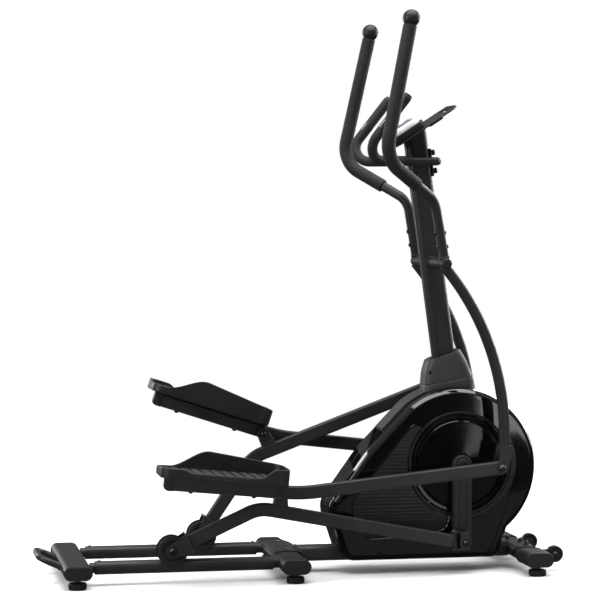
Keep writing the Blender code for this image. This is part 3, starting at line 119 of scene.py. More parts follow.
def look(
    name, slot, dark, light, roughness, grain, depth, spread=0.07, stretch=(1, 1, 1), cells=False,
    edge=None, **sockets
):
    """A material whose colour, gloss and surface vary over the piece.

    `dark` and `light` bound its colour, `grain` and `depth` are the fine texture's frequency and height, and
    `edge` is the colour that its convex edges turn to: partly wear, partly a painted highlight."""
    material = bpy.data.materials.new(name)
    material.use_nodes = True
    tree = material.node_tree
    shader = tree.nodes["Principled BSDF"]
    for socket, value in sockets.items():
        shader.inputs[socket.replace("_", " ")].default_value = value

    add = node_maker(tree)
    place = add("TexCoord").outputs["Object"]
    place = add("Mapping", Vector=place, Scale=stretch).outputs["Vector"]
    clouds = add("TexNoise", Vector=place, Scale=11.0, Detail=5.0, Roughness=0.6).outputs["Fac"]
    patches = add("TexNoise", Vector=place, Scale=46.0, Detail=3.0, Distortion=0.4).outputs["Fac"]
    fine = add("TexNoise", Vector=place, Scale=grain, Detail=3.0, Roughness=0.55).outputs["Fac"]
    colour = add("ValToRGB", Fac=clouds)
    for stop, value, at in zip(colour.color_ramp.elements, (dark, light), (0.36, 0.64)):
        stop.color, stop.position = (*value, 1.0), at
    shade = colour.outputs["Color"]
    # Convex edges lighten toward `edge`: part wear, part painted highlight.
    if edge:
        edge_wear_and_highlight = add("NewGeometry").outputs["Pointiness"]
        edge_wear_and_highlight = add("MapRange", Value=edge_wear_and_highlight, From_Min=0.515, From_Max=0.6, To_Max=0.55).outputs["Result"]
        mixed = add("Mix", at0=edge_wear_and_highlight, at6=shade, at7=(*edge, 1.0))
        mixed.data_type = "RGBA"
        shade = mixed.outputs[2]
    tree.links.new(shade, shader.inputs["Base Color"])
    low, high = max(roughness - spread, 0.02), roughness + spread
    gloss = add("MapRange", Value=patches, From_Min=0.3, From_Max=0.7, To_Min=low, To_Max=high)
    tree.links.new(gloss.outputs["Result"], shader.inputs["Roughness"])
    height = fine
    if cells:
        height = add("TexVoronoi", Vector=place, Scale=grain).outputs["Distance"]
    bump = add("Bump", Height=height, Strength=0.6, Distance=depth)
    tree.links.new(bump.outputs["Normal"], shader.inputs["Normal"])
    return material


def grey(value, warm=0.0):
    return (value * (1 + warm), value, value * (1.03 - warm))


# The `edge` colours below are lighter convex edges: part wear, part painted highlight.
PAINT = look(
    "satin_powder_coat", "frame_paint", grey(0.015), grey(0.019), 0.36, 620.0, 0.0001, edge=grey(0.036),
    Specular_IOR_Level=0.24,
)
PLASTIC = look(
    "moulded_plastic", "cap_plastic", grey(0.0105), grey(0.0135), 0.4, 950.0, 0.00012, edge=grey(0.028),
    Specular_IOR_Level=0.26,
)
COVER = look(
    "cover_plastic", "cover_plastic", grey(0.031), grey(0.037), 0.46, 950.0, 0.00012, edge=grey(0.045),
    Specular_IOR_Level=0.3,
)
GLOSS = look(
    "piano_black", "housing_plastic", grey(0.0016), grey(0.0024), 0.055, 60.0, 0.00001, 0.02,
    Coat_Weight=0.25, Coat_Roughness=0.03,
)
DISC = look(
    "disc_black", "housing_plastic", grey(0.0016), grey(0.0024), 0.085, 60.0, 0.00001, 0.02,
    Specular_IOR_Level=0.24,
)
RIBBED = look(
    "ribbed_panel_plastic", "housing_plastic", grey(0.006), grey(0.008), 0.3, 900.0, 0.00008,
    edge=grey(0.03), Specular_IOR_Level=0.22,
)
TREAD = look(
    "tread_rubber", "pedal_plastic", grey(0.024), grey(0.03), 0.5, 700.0, 0.00012, edge=grey(0.05),
    Specular_IOR_Level=0.3,
)
FOAM = look(
    "grip_foam", "grip_foam", grey(0.011), grey(0.0145), 0.62, 620.0, 0.00028, 0.08, cells=True,
    Specular_IOR_Level=0.25,
)
RUBBER = look(
    "rubber", "foot_rubber", grey(0.008), grey(0.011), 0.52, 500.0, 0.00012, edge=grey(0.022),
    Specular_IOR_Level=0.28,
)
# Near-black, low-gloss strip: painted shadow for the gap under each pedal.
PAINTED_SHADOW = look(
    "painted_shadow_strip", "foot_rubber", grey(0.002), grey(0.0035), 0.7, 500.0, 0.0001, Specular_IOR_Level=0.1,
)
BOLT = look(
    "black_zinc", "bare_steel", grey(0.03), grey(0.06), 0.3, 400.0, 0.00005, 0.1, Metallic=0.85,
    edge=grey(0.16),
)
STEEL = look(
    "bright_steel", "bare_steel", grey(0.42), grey(0.55), 0.28, 300.0, 0.00004, 0.1, (1, 14, 1),
    Metallic=1.0,
)
IRON = look(
    "machined_iron", "bare_steel", grey(0.2), grey(0.31), 0.36, 260.0, 0.00008, 0.1, (9, 1, 9),
    Metallic=1.0,
)
BEZEL = look("pale_bezel", "bezel_plastic", grey(0.66), grey(0.72), 0.3, 900.0, 0.00004, 0.05)
SENSOR = look(
    "silver_sensor", "bezel_plastic", grey(0.3), grey(0.38), 0.24, 240.0, 0.00003, 0.06, (1, 1, 9),
    Metallic=0.8,
)
GLASS = look(
    "display_glass", "screen", (0.3, 0.285, 0.36), (0.37, 0.35, 0.43), 0.09, 90.0, 0.00001, 0.03,
    Coat_Weight=0.5,
)
INK = look("display_ink", "screen", (0.045, 0.04, 0.06), (0.06, 0.055, 0.08), 0.35, 300.0, 0.00002)


# Mesh helpers


def add_object(name, points, faces):
    """A mesh object with its normals facing out."""
    mesh = bpy.data.meshes.new(name)
    mesh.from_pydata([tuple(point) for point in points], [], faces)
    shape = bmesh.new()
    shape.from_mesh(mesh)
    bmesh.ops.recalc_face_normals(shape, faces=shape.faces)
    shape.to_mesh(mesh)
    shape.free()
    obj = bpy.data.objects.new(name, mesh)
    bpy.context.scene.collection.objects.link(obj)
    return obj


def drop(obj):
    mesh = obj.data
    bpy.data.objects.remove(obj)
    bpy.data.meshes.remove(mesh)


def bake(obj):
    """Makes what the modifiers give the object's own mesh."""
    bpy.context.view_layer.update()
    graph = bpy.context.evaluated_depsgraph_get()
    mesh = bpy.data.meshes.new_from_object(obj.evaluated_get(graph))
    obj.modifiers.clear()
    obj.data = mesh
    return obj


def boolean(obj, operation, others):
    for other in others:
        modifier = obj.modifiers.new(operation.lower(), "BOOLEAN")
        modifier.operation = operation
        modifier.solver = "EXACT"
        modifier.object = other
    bake(obj)
    for other in others:
        drop(other)
    return obj


def join(obj, *others):
    return boolean(obj, "UNION", others)


def cut(obj, *others):
    return boolean(obj, "DIFFERENCE", others)


def merge(first, *others):
    """One object of several closed shells of the same material."""
    shape = bmesh.new()
    for obj in (first, *others):
        shape.from_mesh(obj.data)
    shape.to_mesh(first.data)
    shape.free()
    for obj in others:
        drop(obj)
    return first


def place(obj, matrix):
    obj.data.transform(matrix)
    return obj


def show(obj, material, body, *nodes, slot=None):
    """Finishes a piece: its material and shading, the body that it rides on and the CAD nodes that it stands
    for. Its
    `slot` is not used."""
    obj.data.materials.clear()
    obj.data.materials.append(material)
    obj.data.shade_smooth()
    obj.data.set_sharp_from_angle(angle=radians(34))
    normals = obj.modifiers.new("normals", "WEIGHTED_NORMAL")
    normals.keep_sharp = True
    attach(obj, body)
    if nodes:
        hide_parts(*nodes)
    return obj


def softened(points, radius, closed=True, steps=4):
    """A line in the plane with its corners rounded, as far as its edges allow."""
    soft = []
    for i, point in enumerate(points):
        corner = Vector(point)
        back = Vector(points[i - 1]) - corner
        ahead = Vector(points[(i + 1) % len(points)]) - corner
        if not closed and i in (0, len(points) - 1) or pi - back.angle(ahead) < 0.12:
            soft.append(corner)
            continue
        reach = min(radius * tan((pi - back.angle(ahead)) / 2), 0.46 * back.length, 0.46 * ahead.length)
        start, end = corner + back.normalized() * reach, corner + ahead.normalized() * reach
        for step in range(steps + 1):
            share = step / steps
            soft.append(start.lerp(corner, share).lerp(corner.lerp(end, share), share))
    return [tuple(point) for point in soft]


def faces_of_rings(rings, size, closed):
    faces = []
    for i in range(rings if closed else rings - 1):
        low, high = i * size, (i + 1) % rings * size
        for j in range(size):
            k = (j + 1) % size
            faces.append((low + j, low + k, high + k, high + j))
    if not closed:
        faces.append(tuple(range(size)))
        faces.append(tuple(range((rings - 1) * size, rings * size)))
    return faces


def loft(name, rings, closed=False):
    """Skins a list of rings of points, all of one length."""
    points = [point for ring in rings for point in ring]
    return add_object(name, points, faces_of_rings(len(rings), len(rings[0]), closed))


def turned(name, profile, centre=(0, 0, 0), axis="Y", sides=ROUND, soft=0.0008):
    """Turns (radius, along) points round an axis. A profile from the axis to the axis makes a solid, and any
    other one a ring. Its corners are rounded."""
    solid = profile[0][0] == 0.0
    profile = softened(profile, soft, closed=not solid) if soft else profile
    rings = []
    for radius, along in profile[1:-1] if solid else profile:
        ring = []
        for step in range(sides):
            angle = 2.0 * pi * (step + 0.5) / sides
            a, b = radius * cos(angle), radius * sin(angle)
            offset = {"X": (along, a, b), "Y": (a, along, b), "Z": (a, b, along)}[axis]
            ring.append(Vector(centre) + Vector(offset))
        rings.append(ring)
    return loft(name, rings, closed=not solid)


def sided(profile, side, start=0):
    """The turned profile of one side of the machine: its distances run from `start` towards that side."""
    return [(radius, start + side * along) for radius, along in profile]


def sleeve(inner, outer, start, end):
    """The turned profile of a plain sleeve, or of a solid disc where `inner` is 0."""
    return [(inner, start), (outer, start), (outer, end), (inner, end)]


def rod(name, radius, start, end, at=(0, 0), axis="Y", sides=ROUND, soft=0.0):
    centre = {"X": (0, *at), "Y": (at[0], 0, at[1]), "Z": (*at, 0)}[axis]
    return turned(name, sleeve(0.0, radius, start, end), centre, axis, sides, soft)


def anticlockwise(outline):
    area = sum(x * nz - nx * z for (x, z), (nx, nz) in zip(outline, outline[1:] + outline[:1]))
    return outline if area > 0 else outline[::-1]


def offset(outline, distance):
    """Moves each point of an anticlockwise outline out along its own normal."""
    grown = []
    for i, (x, z) in enumerate(outline):
        before, after = outline[i - 1], outline[(i + 1) % len(outline)]
        along = Vector((after[0] - before[0], after[1] - before[1])).normalized()
        grown.append((x + along.y * distance, z - along.x * distance))
    return grown


def edge_levels(low, high, edge, steps=4):
    """(place, inset) pairs that carry an outline from one face to the other with rounded edges."""
    turn = [radians(90) * step / steps for step in range(steps + 1)]
    start = [(low + edge * (1 - sin(angle)), edge * (1 - cos(angle))) for angle in turn[::-1]]
    end = [(high - edge * (1 - sin(angle)), edge * (1 - cos(angle))) for angle in turn]
    return start + end


def plate(name, outline, low, high, edge=0.0007, corner=0.0, steps=4):
    """An (x, z) outline extruded along Y, with rounded corners and edges."""
    if corner:
        outline = softened(outline, corner)
    outline = anticlockwise(outline)
    low, high = sorted((low, high))
    rings = [
        [(x, y, z) for x, z in offset(outline, -inset)]
        for y, inset in edge_levels(low, high, edge, steps)
    ]
    return loft(name, rings)


def flat_plate(name, outline, low, high, edge=0.0007, corner=0.0):
    """The same, lying: an (x, y) outline extruded along Z."""
    obj = plate(name, outline, low, high, edge, corner)
    for vertex in obj.data.vertices:
        vertex.co = (vertex.co.x, vertex.co.z, vertex.co.y)
    obj.data.flip_normals()
    return obj


def block(name, low, high, edge=0.0007):
    outline = [(low[0], low[2]), (high[0], low[2]), (high[0], high[2]), (low[0], high[2])]
    return plate(name, outline, low[1], high[1], edge, corner=max(edge, 0.0001))


def rounded(wide, tall, radius, steps=10):
    points = []
    for corner, (sx, sy) in enumerate(((1, 1), (-1, 1), (-1, -1), (1, -1))):
        cx, cy = sx * (wide / 2 - radius), sy * (tall / 2 - radius)
        for step in range(steps + 1):
            angle = radians(90) * (corner + step / steps)
            points.append((cx + radius * cos(angle), cy + radius * sin(angle)))
    return points


def circle(radius, sides=TUBE):
    angles = [2.0 * pi * (step + 0.5) / sides for step in range(sides)]
    return [(radius * cos(angle), radius * sin(angle)) for angle in angles]


def arc(centre, radius, start, end, steps):
    points = []
    for step in range(steps + 1):
        angle = radians(start + (end - start) * step / steps)
        points.append((centre[0] + radius * cos(angle), centre[1] + radius * sin(angle)))
    return points


def moved(outline, dx, dz):
    return [(x + dx, z + dz) for x, z in outline]


def bent(points, radii, step=radians(4)):
    """A path through corner points, with an arc of each inner corner's radius in place of it."""
    points = [Vector(point) for point in points]
    path = [points[0]]
    for before, corner, after, radius in zip(points, points[1:], points[2:], radii):
        back, ahead = (before - corner).normalized(), (after - corner).normalized()
        turn = pi - back.angle(ahead)
        reach = radius * tan(turn / 2)
        middle = corner + (back + ahead).normalized() * radius / cos(turn / 2)
        start, end = corner + back * reach - middle, corner + ahead * reach - middle
        count = max(2, ceil(turn / step))
        for i in range(count + 1):
            first = sin((1 - i / count) * turn) / sin(turn)
            second = sin(i / count * turn) / sin(turn)
            path.append(middle + start * first + end * second)
    path.append(points[-1])
    return path


def swept_rings(path, section, side=Vector((0, 1, 0)), scales=None):
    """Rings of a section carried along a path without twisting, each one scaled."""
    rings = []
    across, came = side, None
    for i, point in enumerate(path):
        before, after = path[max(i - 1, 0)], path[min(i + 1, len(path) - 1)]
        ahead = (Vector(after) - Vector(before)).normalized()
        if came:
            across = came.rotation_difference(ahead) @ across
        across = (across - ahead * across.dot(ahead)).normalized()
        up = ahead.cross(across)
        scale = scales[i] if scales else 1.0
        rings.append([Vector(point) + (across * a + up * b) * scale for a, b in section])
        came = ahead
    return rings


def swept(name, path, section, side=Vector((0, 1, 0)), scales=None):
    return loft(name, swept_rings(path, section, side, scales))


def along_path(path, distance):
    for before, after in zip(path, path[1:]):
        length = (after - before).length
        if distance <= length:
            return before.lerp(after, distance / length)
        distance -= length
    return path[-1]


def path_length(path):
    return sum((after - before).length for before, after in zip(path, path[1:]))


def round_ended(name, path, start, end, radius, edge, sides=TUBE, side=Vector((0, 1, 0)), step=0.006):
    """A round sleeve over a stretch of a path, with rounded ends."""
    levels = edge_levels(start, end, edge, 5)
    middle = [(start + edge + i * step, 0.0) for i in range(1, int((end - start - 2 * edge) / step))]
    stops = sorted(levels + middle)
    points = [along_path(path, distance) for distance, inset in stops]
    scales = [(radius - inset) / radius for distance, inset in stops]
    return swept(name, points, circle(radius, sides), side, scales)


def oriented(at, direction):
    return Matrix.Translation(at) @ UPRIGHT.rotation_difference(Vector(direction)).to_matrix().to_4x4()


def bolt(name, at, direction, radius, body, washer=True):
    """A round-headed bolt with a hexagon socket, on a washer."""
    tall = radius * 0.78
    head = turned(
        name, [(0, 0), (radius, 0), (radius, tall * 0.5), (radius * 0.62, tall), (0, tall)], axis="Z",
        sides=28, soft=radius * 0.3,
    )
    cut(head, rod("socket", radius * 0.42, tall * 0.35, tall * 2, axis="Z", sides=6))
    if washer:
        ring = sleeve(radius * 0.5, radius * 1.3, -0.0002, radius * 0.16)
        merge(head, turned("washer", ring, axis="Z", sides=32, soft=0.0002))
    return show(place(head, oriented(at, direction)), BOLT, body)


def domed_nut(name, at, direction, radius, body):
    """A hexagon nut with a domed cap."""
    nut = rod(name, radius, 0.0, radius * 0.8, axis="Z", sides=6, soft=radius * 0.08)
    dome = [
        (0, 0), (radius * 0.8, 0), (radius * 0.8, radius * 0.9), (radius * 0.55, radius * 1.55),
        (0, radius * 1.8),
    ]
    ring = sleeve(radius * 0.4, radius * 1.35, -0.0002, radius * 0.14)
    merge(
        nut, turned("dome", dome, axis="Z", sides=28, soft=radius * 0.5),
        turned("washer", ring, axis="Z", sides=32, soft=0.0002),
    )
    return show(place(nut, oriented(at, direction)), BOLT, body)


# Where the linkage stands


def rotated(point, angle):
    x, z = point
    return (x * cos(angle) - z * sin(angle), x * sin(angle) + z * cos(angle))


def crank_pin(side):
    return (CRANK_X, CRANK_Z + side * CRANK_RADIUS)


def link_slope(side):
    return asin((crank_pin(side)[1] - ROLLER_Z) / LINK_LENGTH)


def link_pivot(side):
    dx, dz = rotated(ARM_PIVOT, link_slope(side))
    pin = crank_pin(side)
    return (pin[0] + dx, pin[1] + dz)


def clevis_pin(side):
    """(x, z) where the pedal arm meets the swing arm: the crossing of their two circles."""
    pivot, mast = Vector(link_pivot(side)), Vector((SWING_X, SWING_Z))
    apart = mast - pivot
    along = (ARM_LENGTH**2 - SWING_REACH**2 + apart.length_squared) / (2 * apart.length)
    off = sqrt(ARM_LENGTH**2 - along**2)
    ahead = apart.normalized()
    return tuple(pivot + ahead * along + Vector((ahead.y, -ahead.x)) * off)


def frame_at(location, turn):
    return Matrix.Translation(location) @ Matrix.Rotation(turn, 4, "Y")


def link_frame(side):
    pin = crank_pin(side)
    return frame_at((pin[0], side * RAIL_Y, pin[1]), -link_slope(side))


def arm_frame(side):
    pivot, front = link_pivot(side), clevis_pin(side)
    turn = atan2(ARM_FRONT[1], ARM_FRONT[0]) - atan2(front[1] - pivot[1], front[0] - pivot[0])
    return frame_at((pivot[0], 0, pivot[1]), turn)


def swing_frame(side):
    front = clevis_pin(side)
    lean = atan2(front[0] - SWING_X, SWING_Z - front[1])
    return frame_at(SWING_AT, SWING_REST - lean)


CONSOLE_FRAME = frame_at((CONSOLE_AT[0], 0, CONSOLE_AT[1]), -CONSOLE_TILT)


def mast_x(z):
    return MAST_LEAN_X + MAST_LEAN * (z - MAST_LEAN_Z)


# Floor bars, rails, feet and wheels


def oval(wide, tall):
    return rounded(wide, tall, tall / 2 - 0.0005, 16)


def bar_section(x, grow=0):
    """The oval outline of a floor bar, or of something round it."""
    return moved(oval(BAR_WIDE + grow, BAR_TALL + grow), x, BAR_Z)


def bar_top_screws(prefix, points, radius, body):
    for i, point in enumerate(points):
        bolt(f"{prefix}_{i + 1}", point, UPRIGHT, radius, body)


def floor_bars():
    """The three flat oval bars, with their end plugs and sleeves."""
    rear = plate("rear_bar_tube", bar_section(REAR_X), -BAR_HALF, BAR_HALF, 0.0008)
    show(rear, PAINT, "frame", "rear_stabilizer")
    inner = BAR_HALF - 0.048
    mid = plate("mid_bar_tube", bar_section(MID_X), -inner - 0.03, inner + 0.03, 0.0006)
    show(mid, PAINT, "frame", "mid_stabilizer")
    front = plate("front_bar_tube", bar_section(FRONT_X, -0.006), -0.228, 0.228, 0.0006)
    show(front, PAINT, "frame", "front_stabilizer")
    for name, side in SIDES.items():
        face = bar_section(REAR_X, -0.0035)
        plug = plate(
            f"rear_bar_plug_{name}", face, side * (BAR_HALF - 0.004), side * (BAR_HALF + 0.0022), 0.0016,
        )
        show(plug, PLASTIC, "frame")
        for bar, x, start, nodes in (
            ("mid", MID_X, inner, []), ("front", FRONT_X, 0.128, [f"front_cap_{name}"]),
        ):
            outer = bar_section(x, 0.002)
            cap = plate(f"{bar}_bar_cap_{name}", outer, side * start, side * BAR_HALF, 0.0024, steps=6)
            lip = bar_section(x, 0.0036)
            collar = plate("cap_lip", lip, side * (start - 0.0006), side * (start + 0.0055), 0.0009)
            show(merge(cap, collar), PLASTIC, "frame", *nodes)


def carry_handle():
    """The bent tube behind the rear bar, with a weld bead where each leg meets the bar."""
    start, reach, half, high = REAR_X - BAR_WIDE / 2 + 0.002, -0.7475, 0.085, BAR_Z + 0.024
    corners = [(start, -half, BAR_Z), (reach, -half, high), (reach, half, high), (start, half, BAR_Z)]
    loop = swept("carry_handle_tube", bent(corners, [0.035, 0.035]), circle(0.0095), UPRIGHT)
    beads = []
    for y in (-half, half):
        ring = [(0.009, -0.0022), (0.0112, -0.0015), (0.0126, 0.003), (0.009, 0.003)]
        beads.append(
            turned("weld", [(r, start - 0.0035 + x) for r, x in ring], (0, y, BAR_Z), "X", 40, 0.001)
        )
    show(merge(loop, *beads), PAINT, "frame", "carry_handle")


def saddles():
    """The plates over the mid and front bars that bolt them to the beam."""
    z = BAR_Z + BAR_TALL / 2
    across = [
        (-0.036, -0.0045), (-0.03, 0.0012), (-0.02, 0.003), (0.03, 0.003), (0.047, -0.0035), (0.058, -0.01),
    ]
    top = softened(across, 0.01, closed=False, steps=6)
    under = [(x, dz - 0.0028) for x, dz in top][::-1]
    mid = plate("mid_bar_saddle", moved(top + under, MID_X, z), -0.066, 0.15, 0.0006)
    show(mid, PAINT, "frame")
    groove = block(
        "mid_bar_rib", (MID_X - 0.0235, -0.085, z + 0.0022), (MID_X - 0.0205, 0.07, z + 0.004), 0.0008,
    )
    show(groove, PLASTIC, "frame")
    bar_top_screws(
        "mid_saddle_bolt", [(MID_X + 0.004, y, z + 0.003) for y in (-0.038, 0.12)], 0.0062, "frame",
    )
    z = BAR_Z + (BAR_TALL - 0.006) / 2
    across = [(-0.044, -0.021), (-0.041, -0.006), (-0.026, 0.0032), (0.024, 0.0032), (0.037, -0.0045)]
    top = softened(across, 0.012, closed=False, steps=6)
    under = [(x + 0.0012 * copysign(1, -x), dz - 0.003) for x, dz in top][::-1]
    front = plate("front_bar_saddle", moved(top + under, FRONT_X, z), -0.092, 0.092, 0.0006)
    show(front, PAINT, "frame")
    for i, (x, y) in enumerate(((-0.012, 0.066), (0.009, -0.06), (0.012, 0.012))):
        domed_nut(f"front_saddle_nut_{i + 1}", (FRONT_X + x, y, z + 0.003), UPRIGHT, 0.0072, "frame")


def wheels():
    x, z = WHEEL_AT
    for name, side in SIDES.items():
        corners = [
            (FRONT_X + 0.012, BAR_Z - 0.01), (x - 0.002, z - 0.012), (x + 0.012, z), (x - 0.002, z + 0.012),
            (FRONT_X + 0.012, BAR_Z + 0.013),
        ]
        arm = plate(f"wheel_arm_{name}", corners, side * 0.112, side * 0.1168, 0.0008, corner=0.012)
        pin = rod("wheel_pin", 0.0043, side * 0.113, side * (WHEEL_OUT + 0.001), (x, z), sides=28)
        show(merge(arm, pin), PAINT, "frame")
        bolt(f"wheel_bolt_{name}", (x, side * (WHEEL_OUT + 0.001), z), (0, side, 0), 0.0068, "frame")
        rim, inner = WHEEL_RADIUS, 0.0048
        half = [
            (inner, 0.0006), (0.0095, 0.0006), (0.0105, 0.003), (0.0165, 0.003), (0.0175, 0.0004),
            (rim - 0.0012, 0.0004), (rim, 0.003),
        ]
        half = sided(half, 1, WHEEL_IN)
        middle = (WHEEL_IN + WHEEL_OUT) / 2
        profile = half + [(r, 2 * middle - y) for r, y in half[::-1]]
        profile = sided(profile, side)
        tread = turned(f"transport_wheel_tread_{name}", profile, (x, 0, z), sides=64, soft=0.001)
        show(tread, RUBBER, f"wheel_{name}", f"transport_wheel_{name}", slot="wheel_rubber")


def feet():
    """Levelling feet: a soft pad, a hard cap, a lock nut and a threaded stem."""
    radius = FOOT_RADIUS
    pad = [(0, 0.0), (radius - 0.002, 0.0), (radius - 0.0006, 0.0035), (radius - 0.0006, 0.0052), (0, 0.0052)]
    cap = [
        (0, 0.005), (radius - 0.0016, 0.005), (radius, 0.0062), (radius, 0.0148), (radius - 0.003, 0.018),
        (0.0115, 0.0184), (0, 0.0184),
    ]
    for bar, x in (("rear", REAR_X), ("mid", MID_X), ("front", FRONT_X)):
        for name, side in SIDES.items():
            body, at = f"foot_{bar}_{name}", (x, side * FOOT_Y, 0)
            shell = turned(f"{body}_pad", cap, at, "Z", 64, 0.0012)
            merge(shell, turned("pad", pad, at, "Z", 64, 0.0008))
            show(shell, RUBBER, body, body)
            thread = [(0, 0.018)]
            for turn in range(15):
                thread += [(0.0044, 0.0182 + turn * 0.0006), (0.0049, 0.0185 + turn * 0.0006)]
            stem = turned(f"{body}_stem", thread + [(0, 0.0275)], at, "Z", 28, 0.0)
            merge(stem, turned("lock_nut", sleeve(0, 0.0095, 0.0182, 0.0226), at, "Z", 6, 0.0006))
            show(stem, BOLT, body)


def rails():
    """The two round rails that the rollers run on, on inserts that are necked down at both ends."""
    start, end = REAR_X + BAR_WIDE / 2 - 0.001, MID_X - BAR_WIDE / 2 + 0.001
    neck, step = RAIL_RADIUS - 0.0045, 0.0145
    profile = [
        (0, start), (neck, start), (neck, start + step), (RAIL_RADIUS - 0.0006, start + step),
        (RAIL_RADIUS, start + step + 0.001), (RAIL_RADIUS, end - step - 0.001),
        (RAIL_RADIUS - 0.0006, end - step), (neck, end - step), (neck, end), (0, end),
    ]
    for name, side in SIDES.items():
        rail = turned(f"rail_{name}_tube", profile, (0, side * RAIL_Y, RAIL_Z), "X", 64, 0.0008)
        show(rail, PAINT, "frame", f"rail_{name}")
        for i, x in enumerate((start + step + 0.013, end - step - 0.01)):
            at = (x, side * RAIL_Y, RAIL_Z + RAIL_RADIUS - 0.0006)
            bolt(f"rail_{name}_screw_{i + 1}", at, UPRIGHT, 0.0042, "frame", washer=False)


# Main frame, mast and covers


def main_frame():
    """The beam under the housing and the post and bearing shell inside it."""
    start, end = MID_X + BAR_WIDE / 2 - 0.002, FRONT_X - (BAR_WIDE - 0.006) / 2 + 0.002
    section = rounded(BEAM_WIDE, BEAM_TALL, 0.014, 8)
    beam = swept("main_beam", [Vector((start, 0, BEAM_Z)), Vector((end, 0, BEAM_Z))], section)
    top = MAST_FOOT_Z - GAP
    post_path = [Vector((mast_x(BEAM_Z), 0, BEAM_Z)), Vector((mast_x(top), 0, top))]
    shell = turned("shell", sleeve(0.0104, 0.025, -0.034, 0.034), CRANK_AT)
    bead = swept(
        "bead", [Vector((start + 0.001, 0, BEAM_Z)), Vector((start + 0.006, 0, BEAM_Z))],
        rounded(BEAM_WIDE + 0.005, BEAM_TALL + 0.004, 0.016, 8), scales=[1.0, 0.95],
    )
    merge(beam, swept("post", post_path, rounded(0.04, 0.056, 0.01, 6)), shell, bead)
    show(beam, PAINT, "frame", "main_frame")


def mast():
    """The leaning oval column, with a boss on each side for the swing axle."""
    steps = [MAST_FOOT_Z + (MAST_TOP_Z - MAST_FOOT_Z) * i / 24 for i in range(25)]
    column = swept(
        "mast_column", [Vector((mast_x(z), 0, z)) for z in steps], rounded(MAST_WIDE, MAST_DEEP, 0.022, 12),
    )
    boss = turned("boss", sleeve(0, 0.018, -0.03, 0.03), SWING_AT, soft=0.0012)
    join(column, boss)
    above = place(block("above_tray", (-0.2, -0.1, -GAP), (0.4, 0.1, 0.3), 0), CONSOLE_FRAME)
    cut(column, above)
    for side in SIDES.values():
        weld = [(0.0178, 0.0228), (0.0205, 0.0232), (0.0182, 0.0275)]
        merge(column, turned("weld", sided(weld, side), SWING_AT, soft=0.001))
    show(column, PAINT, "frame", "mast")


def column_ring(centre_x, z, wide, deep, radius, slope=0.0):
    """A rounded section of something upright, tilted by `slope` along X."""
    return [(centre_x + x, y, z + slope * x) for y, x in rounded(wide, deep, radius, 12)]


def blended(levels, steps):
    """More levels between the given ones, on a smooth line through them."""
    rows = []
    for i in range(len(levels) - 1):
        p = [levels[max(i - 1, 0)], levels[i], levels[i + 1], levels[min(i + 2, len(levels) - 1)]]
        for step in range(steps):
            t = step / steps
            row = []
            for a, b, c, d in zip(*p):
                square, cube = 2 * a - 5 * b + 4 * c - d, 3 * b - a - 3 * c + d
                row.append(0.5 * (2 * b + (c - a) * t + square * t**2 + cube * t**3))
            rows.append(tuple(row))
    return rows + [levels[-1]]


def mast_cover():
    """The tapered sleeve over the foot of the mast, with its clip screws."""
    levels = [
        (0.442, 0.5492, 0.092, 0.146, 0.16), (0.434, 0.59, 0.09, 0.124, 0.28),
        (0.4285, 0.62, 0.084, 0.098, 0.36),
    ]
    outside = [column_ring(x, z, wide, deep, 0.026, slope) for x, z, wide, deep, slope in blended(levels, 7)]
    x, z, wide, deep, slope = levels[-1]
    outside.append(column_ring(x, z + 0.0022, wide - 0.0016, deep - 0.0016, 0.0255, slope))
    outside.append(column_ring(x, z + 0.003, wide - 0.005, deep - 0.005, 0.0245, slope))
    inside = [column_ring(0.4325, z + 0.0022, MAST_WIDE + 0.003, MAST_DEEP + 0.005, 0.023, slope)]
    inside.append(column_ring(0.44, 0.56, 0.084, 0.134, 0.023, 0.2))
    inside.append(column_ring(0.442, 0.5492, 0.086, 0.14, 0.023, 0.16))
    cover = loft("mast_cover_shell", outside + inside, closed=True)
    hole = (0.383, 0.5735)
    cut(cover, rod("screw_way", 0.005, -0.2, 0.2, hole, sides=32))
    show(cover, COVER, "frame", "mast_cover")
    for name, side in SIDES.items():
        bolt(
            f"cover_screw_{name}", (hole[0], side * 0.0365, hole[1]), (0, side, 0), 0.004, "frame",
            washer=False,
        )


def housing_outline(grow):
    """The housing's side outline: round at the front, and drawn out to a nose at the rear."""
    top = arc(HOUSING_CENTRE, HOUSING_RADIUS, -50, 130, 72)
    corners = [top[-1], (0.19, 0.352), (0.073, 0.19), (0.125, 0.036), (0.576, 0.036), top[0]]
    path = bent([Vector((x, 0, z)) for x, z in corners], [0.3, 0.06, 0.04, 0.026], radians(4))
    return offset(top + [(point.x, point.z) for point in path[1:-1]], grow)


def mast_collar():
    """The lower collar of the mast cover, and its tail down the housing's rear seam."""
    rings = []
    for z, wide, deep, radius, slope in (
        (0.485, 0.098, 0.156, 0.028, 0.1),
        (0.54, 0.0936, 0.149, 0.027, 0.16),
        (0.5455, 0.093, 0.148, 0.027, 0.16),
        (0.5475, 0.09, 0.145, 0.026, 0.16),
    ):
        rings.append(column_ring(0.443, z, wide, deep, radius, slope))
    collar = loft("mast_collar_shell", rings)
    outside, inside = [
        [(x, z) for x, z in with_points(housing_outline(grow), 0.01) if 0.236 < x < 0.5 and z > 0.36]
        for grow in (0.0066, -0.006)
    ]
    join(collar, plate("tail", outside + inside[::-1], -0.043, 0.043, 0.0025, steps=5))
    way = block("collar_way", (0.389, -0.028, 0.4), (0.499, 0.028, 0.6), 0)
    cut(collar, plate("seat", housing_outline(0.0004), -0.1, 0.1, 0.0), way)
    show(collar, COVER, "frame", "mast_collar")


def side_rings(outline, levels, side):
    """Rings of an (x, z) outline at (y, inset) levels, on one side of the machine."""
    return [[(x, side * y, z) for x, z in offset(outline, -inset)] for y, inset in levels]


